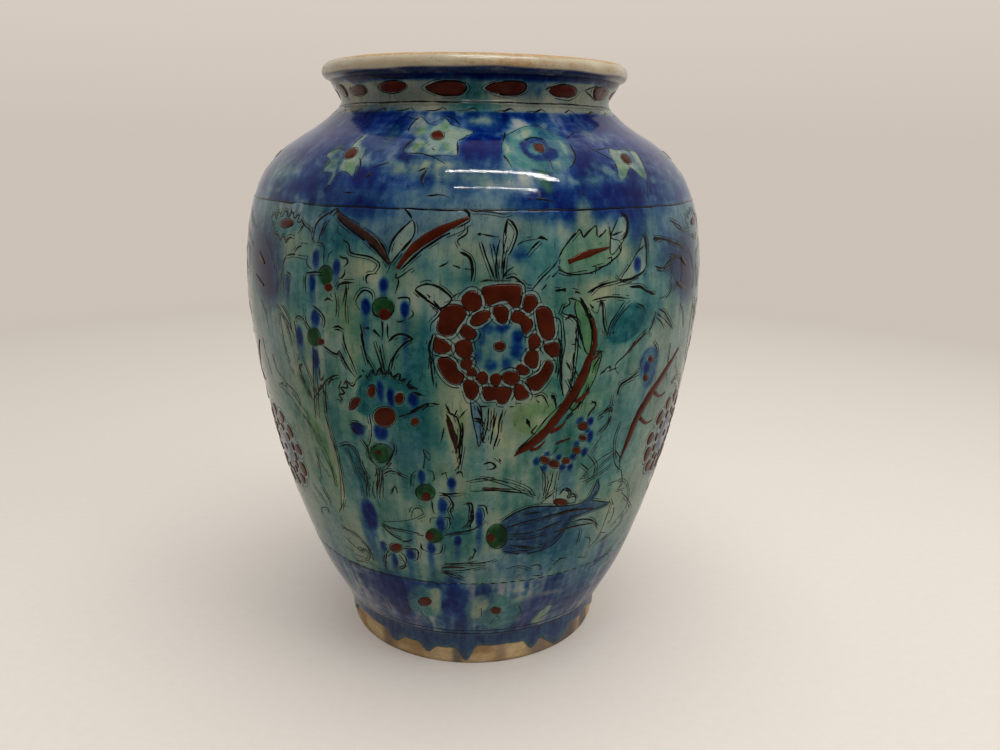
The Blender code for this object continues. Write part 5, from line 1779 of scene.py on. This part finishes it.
def make_lip(finish):
    """Rolled lip, chipped and worn, with the neck's blue brushed up to its underside."""
    centre = (LIP_RADIUS - LIP_ROUND, HEIGHT - LIP_ROUND)
    arc = []
    for angle in np.radians(np.linspace(*LIP_ARC, LIP_POINTS)):
        arc.append((centre[0] + LIP_ROUND * math.cos(angle), centre[1] + LIP_ROUND * math.sin(angle)))
    inside = (float(skin_radius(LIP_SEAT)) - BORE_DEPTH, LIP_SEAT + 0.4)
    slope = along_profile([(arc[-1][0] - 1.4, arc[-1][1] - 2.4), inside], 1.0)
    profile = [LIP_START] + arc + slope

    def uneven(turn, radius, z):
        share = float(np.clip((z - LIP_SEAT) / 5, 0, 1))
        sway = 0.16 * np.sin(2 * turn + 0.8) + 0.10 * np.sin(7 * turn) + 0.06 * np.sin(19 * turn + 1)
        chips = 0.35 * np.clip(np.sin(11 * turn + 2) * np.sin(23 * turn) - 0.72, 0, 1) / 0.28
        sunk = share * chips * 0.5 + 0.12 * share * (1 + np.sin(3 * turn))
        return radius + share * (sway - chips * (z > LIP_CHIPPED)), z - sunk

    def wear(turn, radius, z):
        worn = step(*LIP_TOP, z) * 0.72 + step(*LIP_OUTER, radius) * 0.42
        return worn + 0.10 * np.sin(3 * turn + 1) + 0.06 * np.sin(8 * turn)

    def blue(turn, radius, z):
        edge = LIP_BLUE + 0.35 * np.sin(4 * turn + 1) + 0.2 * np.sin(13 * turn)
        return (1 - step(edge - 0.5, edge + 0.5, z)) * step(*LIP_UNDER, radius)

    turned_ring("lip", "lip_roll", profile, finish, "cream_glaze", RING_COLUMNS, uneven, blue, wear)


def make_collar(finish):
    """Clay of the neck, turned finer than the solid because its profile is hollow."""
    heights = np.linspace(NECK_JOINT + GAP, LIP_SEAT, 25)
    profile = under_skin(heights, CLAY_DEPTH) + under_skin(heights, BORE_DEPTH)[::-1]

    def even(turn, radius, z):
        return radius + 0 * turn, z

    turned_ring("clay_collar", "neck_collar", profile, finish, "buff_clay", PLAIN_COLUMNS, even)


# Radii between which the foot's outer face begins, and the radii of the hem's upper edge
FOOT_FACE = (70, 77)
HEM_TOP = (82.6, 81.0)


def foot_wall(z):
    return FOOT_RADIUS + FOOT_FLARE * z / FOOT_HEIGHT


def make_foot(finish):
    """Bare foot with turning lines, dents and films of blue."""
    inside = FOOT_RADIUS - FOOT_WIDTH
    corners = [
        (foot_wall(0) - FOOT_EDGE, 0.0), (foot_wall(0.4) - 0.35, 0.35), (foot_wall(FOOT_EDGE), FOOT_EDGE),
        (foot_wall(FOOT_HEIGHT), FOOT_HEIGHT), (inside, FOOT_HEIGHT),
        (inside + FOOT_EDGE, FOOT_EDGE), (inside + 2 * FOOT_EDGE, 0.0),
    ]

    def outside(radius):
        return step(*FOOT_FACE, radius)

    def uneven(turn, radius, z):
        out = outside(radius) * step(0.5, 3, z)
        lines = 0.05 * np.sin(3.1 * z + 0.7 * np.sin(turn)) + 0.04 * np.sin(1.7 * z + 2)
        dents = -0.5 * np.clip(np.sin(9 * turn + 0.11 * z) * np.sin(4 * turn + 1.2) - 0.6, 0, 1)
        return radius + out * (lines + dents * (1 - step(6, 10, z))) - 0.08 * out, z

    def film(turn, radius, z):
        total = 0 * turn
        for centre, half_width, strength in FILMS:
            away = np.abs((np.degrees(turn) - centre + 180) % 360 - 180) / half_width
            total = np.maximum(total, strength * np.clip(1.6 - 1.6 * away, 0, 1))
        return total * outside(radius) * step(-2.0, 2.0, z)

    # Darker clay along the bottom edge, where the foot meets the floor, and in a broken band a little above
    # it.
    def dark_foot_bottom(turn, radius, z):
        low = (1 - step(0.4, 1.8, z)) * (0.75 + 0.25 * np.sin(7 * turn))
        return low + 0.35 * step(5.0, 9.0, z) * np.sin(5 * turn + 1) ** 2

    profile = along_profile(corners, 0.9)
    turned_ring("clay_foot", "foot_ring", profile, finish, "buff_clay", RING_COLUMNS, uneven, film, dark_foot_bottom)


def hem_edge(azimuth):
    """Lower edge of the foot's glaze, drawn down into runs, and the extra thickness of the runs."""
    height = np.full_like(azimuth, HEM)
    swell = np.zeros_like(azimuth)
    for count, phase, swing in HEM_WAVES:
        height += swing * np.sin(np.radians(count * azimuth + phase))
    for centre, half_width, length in RUNS:
        away = np.abs((azimuth - centre + 180) % 360 - 180) / half_width
        share = np.where(away < 1, 0.5 + 0.5 * np.cos(np.pi * np.minimum(away, 1)), 0)
        height -= length * share
        swell += RUN_BEAD * share
    return np.maximum(height, HEM_LOWEST), swell


def make_hem(finish):
    """Glaze on the foot, from its drawn-down edge up to the band. Its marks tell where it thins out."""
    azimuth = azimuths(HEM_COLUMNS)
    turn = np.radians(azimuth)
    low, swell = hem_edge(azimuth)
    rings, thin = [], []

    def ring(radius, z, share):
        rings.append(around(radius, turn, z))
        thin.append(share + 0 * turn)

    for k in range(HEM_ROWS + 1):
        up = k / HEM_ROWS
        z = low + (FOOT_HEIGHT - low) * up
        edge = np.sqrt(np.clip(up / 0.12, 0, 1))
        depth = (GLAZE * (0.65 + 0.35 * up) + swell * (1 - up)) * edge + 0.08
        ring(foot_wall(z) + GAP + depth, z, np.clip(1 - up * 2.2, 0, 1))
    against = foot_wall(FOOT_HEIGHT) + GAP
    ring(against + GLAZE + 0.5, FOOT_HEIGHT + 0.9, 0.2)
    for radius in HEM_TOP:
        ring(radius, BASE_EDGE - 0.1, 0.1)
    ring(against, FOOT_HEIGHT, 0.1)
    ring(foot_wall(low) + 0.02, low, 1.0)
    made = ring_piece("glaze_hem", "foot_glaze", rings, finish, "cobalt_glaze")
    marks = np.concatenate(thin)
    colour(made, "marks", [0 * marks, marks])


# Lining: points of the floor as (radius, height), and the rows of its wall and of its neck
FLOOR_CURVE = [(0.6, FLOOR_TOP), (45, FLOOR_TOP + 0.6), (60.0, 31.5), (68, 36.5)]
WALL_ROWS = np.linspace(44, 300, 129)
NECK_ROWS = np.linspace(301, LIP_SEAT - GAP, 28)


def make_lining(finish):
    """Glaze inside, from the floor up the wall to the lip."""
    heights = np.concatenate([WALL_ROWS, NECK_ROWS])
    wall, back = under_skin(heights, LINING_DEPTH), under_skin(heights, LINING_DEPTH - GLAZE)
    floor = along_profile(FLOOR_CURVE + [wall[0]], 3.0)
    under = [(r, z - GLAZE) for r, z in floor]
    profile = floor[:-1] + wall + back[::-8] + [back[0]] + under[:-1][::-3] + [under[0]]

    def uneven(turn, radius, z):
        return radius + 0.05 * np.sin(0.8 * z + np.sin(turn)) * step(60, 70, radius), z

    turned_ring("glaze_inside", "lining_glaze", profile[::-1], finish, "lining_glaze", PLAIN_COLUMNS, uneven)


# Stage, in metres. A lamp has a place, the point that it faces, a size and its watts.

BACKDROP = (0.60, 0.535, 0.475)
LAMP_TINT = (1, 0.97, 0.93)
STRIP = (0.98, 0.028)
LAMPS = (
    ("soft_above", (0.20, -0.36, 1.75), (0.20, -0.36, 0), (1.5, 1.5), 24.5),
    ("soft_right", (1.5, -0.9, 1.5), (0, 0, 0.15), (1.2, 1.2), 9),
    ("strip_near", (0.26, -1.05, 1.48), (0.26, -1.05, 0), STRIP, 9),
    ("strip_far", (0.26, -0.42, 1.48), (0.26, -0.42, 0), STRIP, 9),
)
FLOOR_RADIUS = 6.0


def floor_finish():
    """Pale floor that fades into the backdrop's colour. In the glaze, its near side shows dark."""
    f = Finish("pale_floor")
    x, y, _ = f.parts(f.node("ShaderNodeNewGeometry").outputs["Position"])
    away = f.math("SQRT", f.math("MULTIPLY_ADD", y, y, f.math("POWER", x, 2.0)))
    fibre = f.noise(180, 4, 0.6)
    tone = f.tones(fibre, 0.3, 0.7, (0.770, 0.722, 0.668), (0.800, 0.752, 0.698))
    f.done(tone, 0.7, fibre, 0.0002, 0.3, 0.25)
    glow = f.light("ShaderNodeEmission", f.tones(away, 0.35, 1.1, (0.76, 0.71, 0.65), BACKDROP))
    fade = f.math("MULTIPLY", f.span(away, 0.45, 1.25, 0.24, 1.0), f.rays("Is Camera Ray"))
    seen = f.either(fade, f.shader.outputs[0], glow)
    mirrored = f.light("ShaderNodeEmission", BACKDROP, f.span(y, -0.35, 0.20, 0.06, 1.0))
    both = f.either(f.rays("Is Glossy Ray"), seen, mirrored)
    f.put(f.tree.nodes["Material Output"].inputs["Surface"], both)
    return f.material


def make_world():
    """Backdrop that pales upwards, and a light that comes more from behind than from the camera's side."""
    world = bpy.data.worlds.new("studio")
    bpy.context.scene.world = world
    world.use_nodes = True
    w = Nodes(world.node_tree)
    _, y, z = w.parts(w.node("ShaderNodeTexCoord").outputs["Generated"])
    shown = w.light("ShaderNodeBackground", w.tones(z, 0.0, 0.14, BACKDROP, (0.675, 0.605, 0.535)))
    back = w.fed(w.tree.nodes["Background"], ((0.92, 0.87, 0.82), w.span(y, -0.75, 0.35, 0.06, 0.62)))
    mix = w.either(w.rays("Is Camera Ray"), back.outputs[0], shown)
    w.put(w.tree.nodes["World Output"].inputs["Surface"], mix)


def aimed(name, data, where, ahead, right, up):
    """Camera or lamp at a place, looking ahead."""
    made = bpy.data.objects.new(name, data)
    bpy.context.scene.collection.objects.link(made)
    made.matrix_world = Matrix([*np.array([right, up, -ahead, where]).T.tolist(), (0, 0, 0, 1)])
    return made


def lamp(name, where, aim, size, watts):
    """Rectangular lamp. Only the strips show in the glaze, and only the soft ones light it."""
    data = bpy.data.lights.new(name, "AREA")
    data.shape = "RECTANGLE"
    data.size, data.size_y = size
    data.energy = watts
    data.color = LAMP_TINT
    ahead = np.array(aim, float) - np.array(where, float)
    ahead /= np.linalg.norm(ahead)
    right = np.cross(ahead, (0, 0, 1)) if abs(ahead[2]) < 0.999 else np.array([1.0, 0, 0])
    right /= np.linalg.norm(right)
    made = aimed(name, data, where, ahead, right, np.cross(right, ahead))
    made.visible_glossy = name.startswith("strip")
    made.visible_diffuse = not made.visible_glossy


def make_stage():
    """Round floor, backdrop and lamps."""
    bpy.ops.mesh.primitive_circle_add(vertices=128, radius=FLOOR_RADIUS, fill_type="NGON")
    floor = bpy.context.object
    floor.name = "floor"
    floor.data.materials.append(floor_finish())
    make_world()
    for values in LAMPS:
        lamp(*values)


def make_camera():
    data = bpy.data.cameras.new("camera")
    data.lens, data.sensor_width, data.sensor_fit = FOCAL, SENSOR, "HORIZONTAL"
    data.clip_start = 0.01
    bpy.context.scene.camera = aimed("camera", data, EYE, AHEAD, ACROSS, ABOVE)


# Rosettes of the flanks and back: azimuth, height, size and turn
ROSETTES = ((-62, 128, 0.88, 15), (63, 136, 0.88, -10), (176, 132, 0.95, 20))

# Coats of painted glaze: zone, lower and upper edge, and rounding of the lower edge
COATS = (
    ("band", BASE_EDGE, BAND_LINE, 1.1), ("field", BAND_LINE, SHOULDER_LINE, 0.0),
    ("shoulder", SHOULDER_LINE, NECK_LINE, 0.0), ("neck", NECK_LINE, LIP_SEAT, 0.0),
)
SLOTS = {
    "band": "cobalt_glaze", "field": "turquoise_glaze", "shoulder": "cobalt_glaze", "neck": "cream_glaze",
}

# Solids that keep their own form under the glaze
BARE_CLAY = ("lower_body", "upper_body")
BARE_SLIP = ("foot_slip", "girth_slip", "neck_slip")


def main():
    make_camera()
    make_stage()
    bpy.context.scene.view_settings.view_transform = "Standard"

    ground()
    paint_front()
    for values in ROSETTES:
        rosette(*values)
    borders()
    let_run()

    painted, clay, slip = glaze_finish(), clay_finish(), slip_finish()
    for zone, low, high, soft_low in COATS:
        shell(f"glaze_{zone}", f"{zone}_glaze", low, high, painted, SLOTS[zone], soft_low)
    make_lip(lip_finish())
    make_collar(clay)
    make_foot(clay)
    make_hem(hem_finish())
    make_lining(lining_finish())

    finishes = {"ink": ink_finish(), "red": red_finish(), "umber": umber_finish()}
    for name, pile in sorted(piles.items()):
        kind, zone = name.split("_")
        piece_from(name, np.concatenate(pile.points), pile.faces, finishes[kind], SLOTS[zone])

    for finish, names in ((clay, BARE_CLAY), (slip, BARE_SLIP)):
        for name in names:
            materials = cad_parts[name].data.materials
            materials.clear()
            materials.append(finish)


main()
